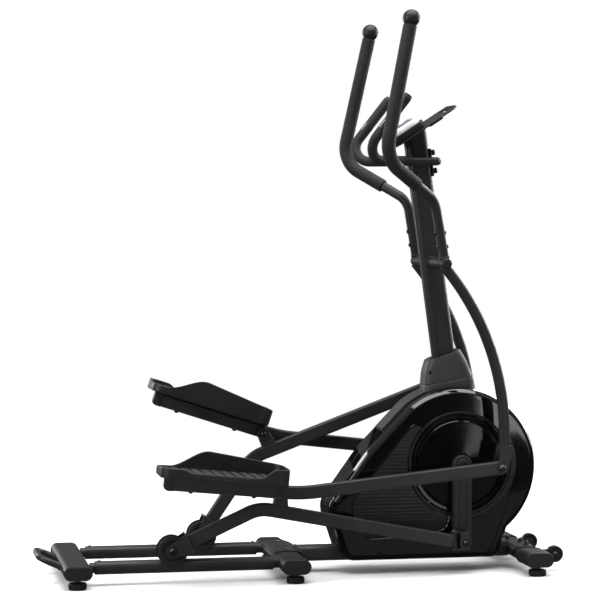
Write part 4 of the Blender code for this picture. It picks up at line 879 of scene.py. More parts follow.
def ring_sector(name, start, end, steps, profile_at):
    """A band round the crank axle between two angles in degrees. `profile_at(i)` is its section."""
    rings = []
    for i in range(steps + 1):
        angle = radians(start + (end - start) * i / steps)
        rings.append([(CRANK_X + r * cos(angle), y, CRANK_Z + r * sin(angle)) for r, y in profile_at(i)])
    return loft(name, rings)


def turn_over(obj):
    """Mirrors a body to the other side of the machine."""
    for vertex in obj.data.vertices:
        vertex.co.y = -vertex.co.y
    obj.data.flip_normals()


def housings():
    """The two halves of the drive's casing, with their trims, panels, rings and screws."""
    outline = housing_outline(0.0)
    half, wall = HOUSING_HALF, HOUSING_WALL
    profile = [
        (GAP / 2, 0.0012), (0.0016, 0.0), (half - 0.022, 0.0), (half - 0.008, 0.0045), (half, 0.015),
        (half + 0.0002, 0.03),
    ]
    outer = softened(profile, 0.009, closed=False, steps=7)
    inner = ((-0.01, wall), (half - 0.022, wall), (half - 0.01, 0.008), (half - wall, 0.017))
    for name, side in SIDES.items():
        shell = loft(f"housing_{name}_shell", side_rings(outline, outer, LEFT))
        hollow = loft("hollow", side_rings(outline, inner, LEFT))
        disc_way = rod("disc_way", DISC_RADIUS + 0.0018, -0.2, 0.2, (CRANK_X, CRANK_Z), sides=128)
        beam_way = block("beam_way", (0.02, -0.031, 0.0), (0.7, 0.031, BEAM_Z + BEAM_TALL / 2 + 0.001), 0)
        mast_way = block("mast_way", (0.4, -0.03, 0.44), (0.497, 0.03, 0.6), 0)
        holes = [rod("hole", 0.0052, half - 0.01, 0.2, at, sides=32) for at in HOUSING_SCREWS]
        cut(shell, hollow, disc_way, beam_way, mast_way, *holes)
        if side == RIGHT:
            turn_over(shell)
        show(shell, GLOSS, "frame", f"housing_{name}")
        for i, (x, z) in enumerate(HOUSING_SCREWS):
            bolt(
                f"housing_{name}_screw_{i + 1}", (x, side * (half - 0.0042), z), (0, side, 0), 0.0042,
                "frame", washer=False,
            )
        housing_trim(name, side)


def housing_trim(name, side):
    """The ribbed panel with its border, the lip round the crank disc and the toothed band outside it."""
    face = HOUSING_HALF
    lip = sided([(0.1436, -0.003), (0.1436, 0.0016), (0.1505, 0.002), (0.1522, -0.001)], side, side * face)
    ring = turned(f"disc_lip_{name}", lip, CRANK_AT, sides=128, soft=0.0012)
    show(ring, RIBBED, "frame")

    def tooth(i):
        top = 0.0017 if i % 4 < 2 else 0.0004
        section = (
            (0.154, -0.002), (0.154, 0.0012), (0.16, 0.0018), (0.1606, top), (0.1666, top), (0.1678, -0.002),
        )
        return sided(section, side, side * face)

    band = ring_sector(f"toothed_band_{name}", -118.0, 34.0, 320, tooth)
    show(band, RIBBED, "frame")
    outline = anticlockwise(softened(PANEL_CORNERS, 0.03, steps=10))
    panel = plate(f"ribbed_panel_{name}", outline, side * (face - 0.002), side * (face + 0.0016), 0.0012)
    cutters = [rod("panel_way", 0.1552, 0.0, side * 0.2, (CRANK_X, CRANK_Z), sides=128)]
    for i in range(34):
        z = 0.106 + i * 0.0102
        near, far = sorted((side * (face + 0.0004), side * 0.2))
        cutters.append(block("groove", (0.1, near, z), (0.47, far, z + 0.0022), 0))
    cut(panel, *cutters)
    show(panel, RIBBED, "frame")
    levels = (
        (0.0012, -0.002), (0.0012, 0.001), (0.002, 0.0019), (0.0034, 0.0019), (0.0042, 0.0008),
        (0.0042, -0.002),
    )
    rings = side_rings(outline, [(face + y, -grow) for grow, y in levels], side)
    border = loft(f"panel_border_{name}", rings, closed=True)
    cut(border, rod("border_way", 0.153, 0.0, side * 0.2, (CRANK_X, CRANK_Z), sides=128))
    show(border, GLOSS, "frame")


# Crank


def crank_discs():
    """The dished round covers that turn with the cranks, in the housing's openings."""
    rim, half = DISC_RADIUS, HOUSING_HALF
    profile = [
        (0.0102, 0.0026), (0.03, 0.0026), (0.034, 0.0016), (0.1215, -0.0008), (0.1245, -0.003),
        (0.1265, -0.0062), (0.1285, -0.0062), (0.13, -0.0012), (rim - 0.0022, -0.0002), (rim, -0.0022),
        (rim, -0.009), (0.124, -0.011), (0.118, -0.006), (0.0102, -0.003),
    ]
    for name, side in SIDES.items():
        section = sided(profile, side, side * half)
        disc = turned(f"crank_cover_{name}", section, CRANK_AT, sides=128, soft=0.0014)
        show(disc, DISC, "crank", f"crank_disc_{name}")


def stadium(one, other, radius, steps):
    low, high = sorted((one, other), key=lambda point: point[1])
    return arc(low, radius, 180, 360, steps) + arc(high, radius, 0, 180, steps)


def crank_arms():
    """The crank arms, each with a long recess, a raised boss on the axle and a pin at its free end."""
    inner, outer = CRANK_ARM_IN, CRANK_ARM_OUT
    for name, side in SIDES.items():
        pin, axle = crank_pin(side), (CRANK_X, CRANK_Z)
        outline = stadium(pin, axle, CRANK_ARM_HALF, 36)
        levels = edge_levels(inner, outer, 0.0042, 6)
        arm = loft(f"crank_arm_{name}_forging", side_rings(outline, levels, side))
        ends = [(CRANK_X, CRANK_Z + side * reach) for reach in (CRANK_RADIUS - 0.045, 0.05)]
        recess = anticlockwise(stadium(*ends, 0.0125, 24))
        depths = ((outer - 0.0022, 0.0011), (outer - 0.0018, 0.0004), (outer + 0.002, -0.0008))
        cut(arm, loft("recess", side_rings(recess, depths, side)))
        raised = anticlockwise(stadium(*ends, 0.0098, 24))
        levels = edge_levels(outer - 0.004, outer - 0.0008, 0.0008)
        island = loft("island", side_rings(raised, levels, side))
        boss = [(0, -0.006), (0.0188, -0.006), (0.0176, 0.0018), (0.016, 0.003), (0, 0.003)]
        boss = turned("boss", sided(boss, side, side * outer), CRANK_AT, soft=0.0012)
        pin_at = (pin[0], 0, pin[1])
        stud = sleeve(0, PIN_RADIUS, side * (outer - 0.01), side * PIN_END)
        stud = turned("stud", stud, pin_at, soft=0.001)
        shoulder = [(0, -0.002), (0.0125, -0.002), (0.011, 0.0006), (0, 0.0006)]
        shoulder = turned("shoulder", sided(shoulder, side, side * outer), pin_at, soft=0.0005)
        merge(arm, island, boss, stud, shoulder)
        show(arm, PAINT, "crank", f"crank_arm_{name}")
        cap = [(0, 0.0026), (0.0128, 0.0026), (0.0124, 0.0044), (0.0095, 0.0056), (0, 0.006)]
        cap = turned(f"crank_cap_{name}", sided(cap, side, side * outer), CRANK_AT, soft=0.0012)
        show(cap, PLASTIC, "crank")


# Roller links, rollers and bearings


def roller_link(name, side, at):
    """The bent bar from the crank bearing to the roller, with the roller's fork and the pedal arm's post."""
    corners = [(LINK_END[0], 0, LINK_END[1]), (LINK_BEND[0], 0, LINK_BEND[1]), (HINGE_X - 0.006, 0, HINGE_Z)]
    link = swept(
        f"roller_link_{name}_bar", bent(corners, [0.1], radians(2)),
        rounded(LINK_WIDE, LINK_TALL, 0.006, 6),
    )
    low, high = HINGE_Z - HINGE_HALF, HINGE_Z + HINGE_HALF
    hinge = turned("hinge", sleeve(0.0052, HINGE_RADIUS, low, high), (HINGE_X, 0, 0), "Z", 48)
    merge(link, hinge, *roller_fork(), *arm_post(side))
    show(place(link, at), PAINT, f"link_{name}", f"roller_link_{name}")
    for i, y in enumerate((-1, 1)):
        start = at @ Vector((-LINK_LENGTH, y * (ROLLER_HALF + 0.0056), 0))
        bolt(f"roller_{name}_bolt_{i + 1}", start, (0, y, 0), 0.0105, f"link_{name}")
    inner = at @ Vector((ARM_PIVOT[0], -side * 0.0131, ARM_PIVOT[1]))
    bolt(f"arm_pin_{name}_bolt", inner, (0, -side, 0), 0.0082, f"link_{name}", washer=False)


def roller_fork():
    """The end plate and the two cheeks that hold the roller, and its axle."""
    ahead = Vector((LINK_BEND[0] - LINK_END[0], LINK_BEND[1] - LINK_END[1])).normalized()
    above = Vector((-ahead.y, ahead.x))
    toward = degrees(atan2(ahead.y, ahead.x))
    inner, outer = ROLLER_HALF + 0.0015, ROLLER_HALF + 0.0055

    def corner(along, up):
        return tuple(Vector(LINK_END) + ahead * along + above * up)

    end = [corner(-0.0012, -0.0285), corner(0.0035, -0.0285), corner(0.0035, 0.0285), corner(-0.0012, 0.0285)]
    pieces = [plate("fork_end", end, -outer - 0.0004, outer + 0.0004, 0.0009)]
    round_end = arc((-LINK_LENGTH, 0.0), 0.0192, toward + 90, toward + 270, 40)
    outline = softened(round_end + [corner(0.002, -0.028), corner(0.002, 0.028)], 0.004)
    for side in SIDES.values():
        pieces.append(plate("fork_cheek", outline, side * inner, side * outer, 0.001))
        collar = sleeve(0.0064, 0.0105, side * (inner - 0.0012), side * inner)
        pieces.append(turned("collar", collar, (-LINK_LENGTH, 0, 0), soft=0.0003))
    pieces.append(rod("roller_axle", 0.0064, -outer, outer, (-LINK_LENGTH, 0)))
    return pieces


def arm_post(side):
    """The post on the link that carries the pedal arm's pin, which reaches out through the arm."""
    x, z = ARM_PIVOT
    outline = [(x - 0.026, 0.108), (x + 0.02, 0.108), (x + 0.0168, z), (x - 0.0168, z)]
    tube = sleeve(0, 0.0176, -0.0133, 0.0133)
    reach = ARM_Y - RAIL_Y + ARM_WIDE / 2
    pin = [(0, 0.0), (0.0074, 0.0), (0.0074, reach + 0.0004), (0.0064, reach + 0.0016), (0, reach + 0.0018)]
    ring = [(0.012, -0.012), (0.012, -0.0152), (0.017, -0.0152), (0.0176, -0.012)]
    pieces = [
        plate("post", outline, -0.0122, 0.0122, 0.003, steps=5),
        turned("post_tube", tube, (x, 0, z), soft=0.0014),
    ]
    for name, profile in (("arm_pin", pin), ("post_ring", ring)):
        pieces.append(turned(name, sided(profile, side), (x, 0, z), soft=0.0005))
    return pieces


def crank_bearing(name, side, at):
    """The bearing ring on the crank pin, with the two plates that hold it to the link's hinge."""
    inner, outer = CRANK_ARM_OUT + 0.0008 - RAIL_Y, 0.1595 - RAIL_Y
    low, high = HINGE_Z - HINGE_HALF - GAP, HINGE_Z + HINGE_HALF + GAP
    thick = 0.004
    ring = turned(
        f"crank_bearing_{name}_ring", sleeve(0, 0.0166, side * (inner + 0.003), side * outer), soft=0.0022,
    )
    pieces = [block("back", (-0.0135, -0.0122, low - thick), (0.0135, 0.0122, high + thick), 0.0016)]
    for bottom, top in ((high, high + thick), (low - thick, low)):
        outline = [(HINGE_X - 0.0095, -0.012), (0.004, -0.0122), (0.004, 0.0122), (HINGE_X - 0.0095, 0.012)]
        pieces.append(flat_plate("hinge_plate", outline, bottom, top, 0.0008, corner=0.007))
    pieces.append(rod("hinge_bolt", 0.0049, low - thick, high + thick, (HINGE_X, 0), "Z"))
    merge(ring, *pieces)
    show(place(ring, at), PAINT, f"link_{name}", f"crank_bearing_{name}")
    seal = sided([(0.007, -0.001), (0.0118, -0.001), (0.0114, 0.0011), (0.0078, 0.0011)], side, side * outer)
    seal = turned(f"bearing_seal_{name}", seal, soft=0.0004)
    show(place(seal, at), RUBBER, f"link_{name}")
    bolt(
        f"bearing_{name}_bolt", at @ Vector((0, side * (outer + 0.0002), 0)), (0, side, 0), 0.0066,
        f"link_{name}", washer=False,
    )
    turn = at.to_3x3()
    for end, z in ((1, high + thick), (-1, low - thick)):
        bolt(
            f"hinge_{name}_bolt_{'top' if end > 0 else 'low'}", at @ Vector((HINGE_X, 0, z)),
            turn @ Vector((0, 0, end)), 0.0062, f"link_{name}",
        )


def roller(name, at):
    """A grooved roller that straddles the rail, with ribbed side faces."""
    groove, above_rail, half, rim = RAIL_RADIUS + 0.0009, ROLLER_Z - RAIL_Z, ROLLER_HALF, ROLLER_RADIUS
    profile = [
        (0.0067, -half + 0.001), (0.012, -half + 0.001), (0.013, -half + 0.0035), (0.0285, -half + 0.0035),
        (0.03, -half), (rim - 0.0012, -half), (rim, -half + 0.0012),
    ]
    for step in range(25):
        along = -groove * cos(pi * step / 24)
        profile.append((min(rim, above_rail - sqrt(max(groove**2 - along**2, 0.0))), along))
    profile += [(r, -y) for r, y in profile[:7][::-1]]
    wheel = turned(f"roller_{name}_wheel", profile, sides=72, soft=0.0009)
    place(wheel, at @ Matrix.Translation((-LINK_LENGTH, 0, 0)))
    show(wheel, PLASTIC, f"roller_{name}", f"roller_{name}", slot="roller_plastic")


# Pedal arms and pedals


def pedal_arm(name, side, at):
    """The bent bar under the pedal, from its plug to the swing arm's clevis."""
    y = side * ARM_Y
    corners = [(ARM_REAR[0], y, ARM_REAR[1]), (ARM_BEND[0], y, ARM_BEND[1]), (ARM_FRONT[0], y, ARM_FRONT[1])]
    arm = swept(
        f"pedal_arm_{name}_bar", bent(corners, [0.45], radians(1.5)), rounded(ARM_WIDE, ARM_TALL, 0.006, 6),
    )
    nose = turned(
        "nose", sleeve(0, ARM_TALL / 2 - 0.0002, y - 0.0136, y + 0.0136), (ARM_FRONT[0], 0, ARM_FRONT[1]),
        soft=0.005,
    )
    ring = [(0.0076, -0.001), (0.0135, -0.001), (0.013, 0.0008), (0.0076, 0.0008)]
    ring = sided(ring, 1, ARM_WIDE / 2)
    bushes = [turned("bush", sided(ring, end, y), (0, 0, 0), soft=0.0005) for end in (-1, 1)]
    merge(arm, nose, *bushes)
    show(place(arm, at), PAINT, f"pedal_arm_{name}", f"pedal_arm_{name}")
    wide, tall, length = ARM_WIDE / 2 + 0.0008, ARM_TALL / 2 + 0.0008, 0.022
    view = [
        (0.004, -tall), (0.004, tall), (-length, tall), (-length, 0.004 - tall / 2),
    ] + arc((-length + 0.013, -tall + 0.013), 0.013, 180, 270, 10)
    outline = softened([tuple(Vector(ARM_REAR) + Vector(rotated(point, ARM_SLOPE))) for point in view], 0.003)
    plug = plate(f"pedal_arm_{name}_plug", outline, y - wide, y + wide, 0.003, steps=6)
    show(place(plug, at), PLASTIC, f"pedal_arm_{name}")
    under = -ARM_TALL / 2
    for i, along in enumerate((0.055, 0.235)):
        dx, dz = rotated((along, under), ARM_SLOPE)
        down = at.to_3x3() @ Vector((sin(ARM_SLOPE), 0, -cos(ARM_SLOPE)))
        bolt(
            f"pedal_{name}_bolt_{i + 1}", at @ Vector((ARM_REAR[0] + dx, y, ARM_REAR[1] + dz)), down, 0.006,
            f"pedal_arm_{name}",
        )
    rivet = sided([(0, -0.001), (0.0062, -0.001), (0.0052, 0.001), (0, 0.0016)], 1, ARM_WIDE / 2)
    rivet = turned(f"pedal_arm_{name}_rivet", sided(rivet, side, y), (0.0035, 0, 0.001), soft=0.0008)
    show(place(rivet, at), PAINT, f"pedal_arm_{name}")


def smooth(share):
    share = min(max(share, 0.0), 1.0)
    return share * share * (3.0 - 2.0 * share)


def wall_height(share, inner_share):
    """Height of the pedal's rim at a share of its length from the heel. It is highest on the inner side."""
    inner = 0.0235 + 0.0475 * smooth((share - 0.1) / 0.31) - 0.022 * max(0.0, (share - 0.42) / 0.58)
    outer = 0.03 - 0.009 * smooth((share - 0.16) / 0.08) + 0.028 * smooth((share - 0.76) / 0.14)
    return outer + (inner - outer) * smooth(inner_share)


def with_points(outline, longest):
    """The outline with more points, none further apart than `longest`."""
    dense = []
    for (x, y), (next_x, next_y) in zip(outline, outline[1:] + outline[:1]):
        pieces = max(1, ceil(hypot(next_x - x, next_y - y) / longest))
        for step in range(pieces):
            dense.append((x + (next_x - x) * step / pieces, y + (next_y - y) * step / pieces))
    return dense


def pedal_frame(at):
    """The pedal's own frame: level with its floor, on top of the arm's rear run."""
    rise = ARM_TALL / 2 + 0.0018
    lift = ARM_BEND[1] - ARM_BEND[0] * tan(ARM_SLOPE)
    return at @ frame_at((-rise * sin(ARM_SLOPE), 0, lift + rise * cos(ARM_SLOPE)), -ARM_SLOPE)


def pedal(name, side, at):
    """The foot plate: a shallow tray with a high inner wall, a toe wall and a low outer lip."""
    length, width = PEDAL_HIGH - PEDAL_LOW, PEDAL_OUT - PEDAL_IN
    centre_x, centre_y = (PEDAL_HIGH + PEDAL_LOW) / 2, (PEDAL_IN + PEDAL_OUT) / 2
    outline = with_points(rounded(length, width, 0.034, 12), 0.005)

    def ring(inset, drop_by=0.0, height=None):
        points = []
        for x, across in outline:
            share, inner_share = 0.5 + x / length, 0.5 - across / (width - 0.04)
            x, across = x * (1 - 2 * inset / length), across * (1 - 2 * inset / width)
            z = wall_height(share, inner_share) - drop_by if height is None else height
            points.append((x + centre_x, side * (across + centre_y), z))
        return points

    under = ((0.0062, 0.0), (0.0024, 0.0004), (0.0008, 0.0018), (0.0, 0.0045))
    rim = (
        (0.0, 0.003), (0.0005, 0.0013), (0.0016, 0.0003), (0.0029, 0.0), (0.0043, 0.0004), (0.0053, 0.0015),
        (0.0058, 0.0034),
    )
    tray_floor = ((0.0068, 0.0175), (0.008, 0.0158), (0.0105, 0.015))
    rings = [ring(inset, height=height) for inset, height in under]
    rings += [ring(inset, drop_by) for inset, drop_by in rim]
    rings += [ring(inset, height=height) for inset, height in tray_floor]
    tray = loft(f"pedal_{name}_tray", rings)
    level = pedal_frame(at)
    show(place(tray, level), PLASTIC, f"pedal_arm_{name}", f"pedal_{name}", slot="pedal_plastic")
    tread, pitch, block_long = None, 0.028, 0.0202
    for step in range(12):
        x = PEDAL_LOW + 0.013 + step * pitch
        low, high = PEDAL_IN + 0.014, PEDAL_OUT - 0.0125
        corners = [(x, low), (x + block_long, low), (x + block_long + 0.005, high), (x + 0.005, high)]
        corners = [(corner_x, side * y) for corner_x, y in corners]
        made = flat_plate(f"pedal_{name}_tread", corners, 0.0142, 0.02, 0.0009, corner=0.002)
        tread = merge(tread, made) if tread else made
    show(place(tread, level), TREAD, f"pedal_arm_{name}")
    y = side * ARM_Y
    # A near-black strip under the pedal, along the arm: painted shadow in the gap between them.
    shadow_strip = block(
        f"pedal_{name}_gasket", (PEDAL_LOW + 0.024, y - ARM_WIDE / 2 - 0.0005, -0.0068),
        (PEDAL_HIGH - 0.014, y + ARM_WIDE / 2 + 0.0005, -0.0002), 0.0012,
    )
    show(place(shadow_strip, level), PAINTED_SHADOW, f"pedal_arm_{name}")
    for i, height in enumerate((0.009, 0.015)):
        low, high = PEDAL_LOW + 0.088, PEDAL_HIGH - 0.105 + 0.01 * i
        across = side * (PEDAL_OUT - 0.0002)
        path = [Vector((low + (high - low) * step / 24, across, height)) for step in range(25)]
        scales = [min(1.0, 0.15 + min(step, 24 - step) * 0.5) for step in range(25)]
        rib = swept(f"pedal_{name}_lip_rib_{i + 1}", path, circle(0.0011, 14), scales=scales)
        show(place(rib, level), PLASTIC, f"pedal_arm_{name}", slot="pedal_plastic")


# Swing arms, handlebars and grips


def swing_path(y):
    """Centre line of the lower tube: it leaves the hub leaning and ends upright."""
    start, radius, first, last = (0.0062, -0.0185), 0.738, 39.5, 0.0
    lean = radians(first)
    centre = (start[0] - radius * cos(lean), start[1] - radius * sin(lean))
    inside = (start[0] - 0.016 * sin(lean), start[1] + 0.016 * cos(lean))
    points = [inside] + arc(centre, radius, first, last, 40) + [(0.1765, -0.535)]
    return [Vector((x, y, z)) for x, z in points]


def swing_arm(name, side, at):
    """The lower lever: a long hub on the axle, a bowed tube, and the clevis with its pin."""
    y, body = side * ARM_Y, f"swing_{name}"
    hub = turned(
        f"swing_arm_{name}_tube", sleeve(0.0092, HUB_RADIUS, side * HUB_IN, side * HUB_OUT), soft=0.0012,
    )
    front = (SWING_REACH * sin(SWING_REST), -SWING_REACH * cos(SWING_REST))
    top = front[1] + 0.0366
    corners = moved([(0.034, 0.012), (0.031, 0.026), (-0.006, 0.03)], front[0], top)
    cheek = softened(arc(front, 0.0145, 180, 335, 28) + corners, 0.003)
    pieces = [swept("tube", swing_path(y), circle(0.0155, 40))]
    for across in (-1, 1):
        low, high = (y + across * (ARM_WIDE / 2 + reach) for reach in (0.001, 0.0045))
        pieces.append(plate("cheek", cheek, low, high, 0.0008))
    web = moved([(-0.006, 0.006), (0.03, 0.01), (0.031, 0.026), (-0.006, 0.03)], front[0], top)
    pieces.append(plate("web", web, y - 0.0178, y + 0.0178, 0.001))
    pieces.append(rod("pin", 0.0044, y - 0.02, y + 0.02, front))
    end = swing_path(y)[-1]
    bead = [(0.015, -0.003), (0.0178, -0.002), (0.0152, 0.004)]
    pieces.append(turned("bead", bead, (end.x - 0.0005, y, end.z + 0.002), "Z", 40, 0.001))
    stub = [Vector((HANDLE_LEAN * up, y, up)) for up in (0.012, 0.03)]
    pieces.append(swept("stub", stub, circle(0.0095)))
    merge(hub, *pieces)
    show(place(hub, at), PAINT, body, f"swing_arm_{name}")
    for kind, way, radius in (("bolt", 1, 0.0096), ("nut", -1, 0.0066)):
        spot = at @ Vector((front[0], side * (ARM_Y + way * 0.0182), front[1]))
        bolt(f"clevis_{name}_{kind}", spot, (0, way * side, 0), radius, body)
    cap = [(0, GAP), (0.015, GAP), (0.015, 0.0022), (0.012, 0.005), (0, 0.0053)]
    cap = turned(f"swing_axle_cap_{name}", sided(cap, side, side * HUB_OUT), SWING_AT, soft=0.0012)
    show(cap, PLASTIC, "frame")
    seal = sleeve(0.0092, 0.0162, 0.0298, 0.031)
    seal = turned(f"swing_seal_{name}", sided(seal, side), SWING_AT, soft=0.0004)
    show(seal, RUBBER, "frame")


def handle_path(side):
    """Centre line of the upper handlebar, from its foot to the ball, in the swing frame."""
    foot = (SWING_X + HANDLE_LEAN * (HANDLE_FOOT - SWING_Z), ARM_Y, HANDLE_FOOT)
    corners = [(x - SWING_X, side * y, z - SWING_Z) for x, y, z in (foot, *HANDLE_BENDS)]
    return bent(corners, [0.06, 0.085], radians(3))


def handlebar(name, side, at):
    """The upper tube with its clamp bolts, its foam and its ball."""
    path, body = handle_path(side), f"swing_{name}"
    full = path_length(path)
    tube = round_ended(f"handlebar_{name}_tube", path, 0.0, full, HANDLE_RADIUS, 0.001)
    weld = round_ended("weld", path, 0.0045, 0.0115, HANDLE_RADIUS + 0.0018, 0.0024, step=0.01)
    show(place(merge(tube, weld), at), PAINT, body, f"handlebar_{name}")
    grip = round_ended(f"grip_{name}_foam", path, GRIP_START, full - 0.0004, GRIP_RADIUS, 0.0032, 40)
    show(place(grip, at), FOAM, body, f"grip_{name}")
    ahead = (path[-1] - path[-2]).normalized()
    radius, collar = BALL_RADIUS, 0.0165
    start = asin(collar / radius)
    profile = [(0, 0), (collar - 0.0012, 0.0)]
    for step in range(30):
        angle = start + (pi - start) * step / 30
        dent = 0.0005 if step == 11 else 0.0
        profile.append(((radius - dent) * sin(angle), radius * cos(start) - radius * cos(angle)))
    profile.append((0, radius * cos(start) + radius))
    ball = turned(f"handle_ball_{name}_knob", profile, axis="Z", sides=56, soft=0)
    place(ball, at @ oriented(path[-1] + ahead * GAP, ahead))
    show(ball, PLASTIC, body, f"handle_ball_{name}", slot="ball_plastic")
    for i, distance in enumerate((0.04, 0.08)):
        point = along_path(path, distance)
        for edge, out in (("rear", -1), ("front", 1)):
            spot = at @ (point + Vector((out * (HANDLE_RADIUS - 0.0008), 0, 0)))
            bolt(f"handle_{name}_{edge}_bolt_{i + 1}", spot, (out, 0, 0), 0.0056, body)


# Fixed handlebar and console


def fixed_half(side):
    """Centre line of one half of the fixed handlebar, from the mast's front to the hook's tip."""
    hook_x = FIXED_TIP[0] - (FIXED_TIP[1] - FIXED_Z) / tan(radians(52))
    corners = [(FIXED_FRONT_X, 0.0, FIXED_Z), (FIXED_FRONT_X, 0.0385, FIXED_Z), (0.311, 0.0425, FIXED_Z)]
    corners += [(hook_x, HOOK_Y, FIXED_Z), (FIXED_TIP[0], HOOK_Y, FIXED_TIP[1])]
    return bent([(x, side * y, z) for x, y, z in corners], [0.018, 0.08, 0.046], radians(5))


def fixed_handlebar():
    """The fixed bar that loops round the mast and ends in two hooks, with its clamp, knobs and sensors."""
    path = fixed_half(RIGHT)[::-1] + fixed_half(LEFT)[1:]
    bar = swept("fixed_bar_tube", path, circle(FIXED_RADIUS), UPRIGHT)
    near, low, high, thick = mast_x(FIXED_Z) + MAST_DEEP / 2 + 0.0006, -0.043, 0.037, 0.0044
    outline = [
        (x + MAST_LEAN * dz, FIXED_Z + dz)
        for x, dz in ((near, low), (near, high), (near + thick, high), (near + thick, low))
    ]
    clamp = plate("clamp", outline, -0.0172, 0.0172, 0.001, corner=0.001)
    show(merge(bar, clamp), PAINT, "frame", "fixed_handlebar")
    out = Vector((1.0, 0.0, -MAST_LEAN)).normalized()
    for i, z in enumerate((1.209, 1.1565)):
        at = Vector((near + thick + MAST_LEAN * (z - FIXED_Z) - 0.0002, 0, z))
        profile = [
            (0, 0), (0.005, 0), (0.005, 0.0042), (0.0082, 0.005), (0.0082, 0.0125), (0.0072, 0.0135),
            (0, 0.0135),
        ]
        knob = turned(f"clamp_knob_{i + 1}", profile, axis="Z", sides=40, soft=0.0008)
        cut(knob, rod("socket", 0.0034, 0.0095, 0.03, axis="Z", sides=6))
        show(place(knob, oriented(at, out)), BOLT, "frame")
    for name, side in SIDES.items():
        path = fixed_half(side)
        full = path_length(path)
        around = (
            (f"fixed_grip_{name}_foam", 0.108, full - 0.0015, FIXED_GRIP_RADIUS, 0.009),
            (f"pulse_sensor_{name}", full - 0.128, full - 0.1, FIXED_GRIP_RADIUS + 0.0007, 0.0012),
            (f"sensor_frame_{name}", full - 0.132, full - 0.096, FIXED_GRIP_RADIUS + 0.0004, 0.0012),
        )
        grip, sensor, rim = [round_ended(label, path, *spans, 36, UPRIGHT) for label, *spans in around]
        show(grip, FOAM, "frame", f"fixed_grip_{name}")
        cut(sensor, sensor_way(path, full))
        show(sensor, SENSOR, "frame")
        show(rim, PLASTIC, "frame")


def sensor_way(path, full):
    """What is left out of the sensor's sleeve, so that only a plate on the upper rear face stays."""
    middle = along_path(path, full - 0.118)
    ahead = (along_path(path, full - 0.1) - along_path(path, full - 0.14)).normalized()
    across = Vector((0, -1, 0))
    up = ahead.cross(across)
    half = block("sensor_way", (-0.06, -0.03, -0.0116), (0.06, 0.03, 0.05), 0)
    matrix = Matrix.Translation(middle) @ Matrix((ahead, across, up)).transposed().to_4x4()
    return place(half, matrix)


def slab(name, along, across, radius, levels):
    """A rounded plate in the console's frame. Each level is (height, inset)."""
    rings = []
    length, width = along[1] - along[0], 2 * across
    for height, inset in levels:
        outline = rounded(length - 2 * inset, width - 2 * inset, max(radius - inset, 0.002), 14)
        rings.append([((along[0] + along[1]) / 2 + a, b, height) for a, b in outline])
    return loft(name, rings)


def put_on_console(obj, material, *nodes, body="frame", slot=None):
    return show(place(obj, CONSOLE_FRAME), material, body, *nodes, slot=slot)


def console():
    """The tablet tray, and on it the console's body, bezel, screen and buttons."""
    tray = slab("tablet_tray_plate", (0.0, 0.22), CONSOLE_HALF, 0.034, edge_levels(0.0, 0.0052, 0.0018, 5))
    rib = slab("rib", (0.128, 0.174), 0.031, 0.006, edge_levels(-0.009, 0.001, 0.002, 5))
    lip = slab("lip", (0.2065, 0.2175), 0.05, 0.005, edge_levels(0.004, 0.0076, 0.0016, 5))
    way = slab("slot", (0.184, 0.2), 0.042, 0.0078, [(-0.02, 0), (0.02, 0)])
    cut(join(tray, rib), way)
    put_on_console(merge(tray, lip), PLASTIC, "tablet_tray", slot="console_plastic")
    levels = [
        (0.0053, 0.01), (0.0053, 0.005), (0.0105, 0.0016), (0.015, 0.0016), (0.0165, 0.0), (0.025, 0.0),
        (0.0262, 0.0012), (0.0262, 0.006),
    ]
    levels = softened(levels, 0.0018, closed=False)
    body = slab("console_case", (0.002, 0.113), CONSOLE_HALF, 0.034, levels)
    put_on_console(body, PLASTIC, "console_body", slot="console_plastic")
    levels = [
        (0.0258, 0.0004), (0.027, 0.0), (0.033, 0.0004), (0.038, 0.002), (0.0405, 0.0052), (0.0414, 0.009),
        (0.0416, 0.0125),
    ]
    levels = softened(levels, 0.004, closed=False)
    bezel = slab("console_bezel_frame", (0.008, 0.106), CONSOLE_HALF - 0.006, 0.034, levels)
    levels = [(0.0375, 0), (0.0398, 0), (0.0425, -0.0022), (0.06, -0.0022)]
    pocket = slab("pocket", (0.04, 0.097), 0.056, 0.014, levels)
    wider, places = BUTTON_RADIUS + 0.0006, (-BUTTON_Y, BUTTON_Y)
    holes = [rod("hole", wider, 0.02, 0.06, (BUTTON_AT, y), "Z", 40) for y in places]
    put_on_console(cut(bezel, pocket, *holes), BEZEL, "console_bezel")
    screen = slab("console_display", (0.0403, 0.0967), 0.0557, 0.0137, edge_levels(0.0376, 0.0394, 0.0006))
    put_on_console(screen, GLASS, "console_screen")
    display_marks()
    radius = BUTTON_RADIUS
    cap = [
        (0, 0.03), (radius, 0.03), (radius, 0.0422), (radius * 0.72, 0.0438), (radius * 0.4, 0.0434),
        (0, 0.0432),
    ]
    for name, y in (("mode_button", -BUTTON_Y), ("reset_button", BUTTON_Y)):
        button = turned(f"{name}_cap", cap, (BUTTON_AT, y, 0), "Z", 44, 0.0008)
        put_on_console(button, RUBBER, name, slot="button_rubber", body=name)


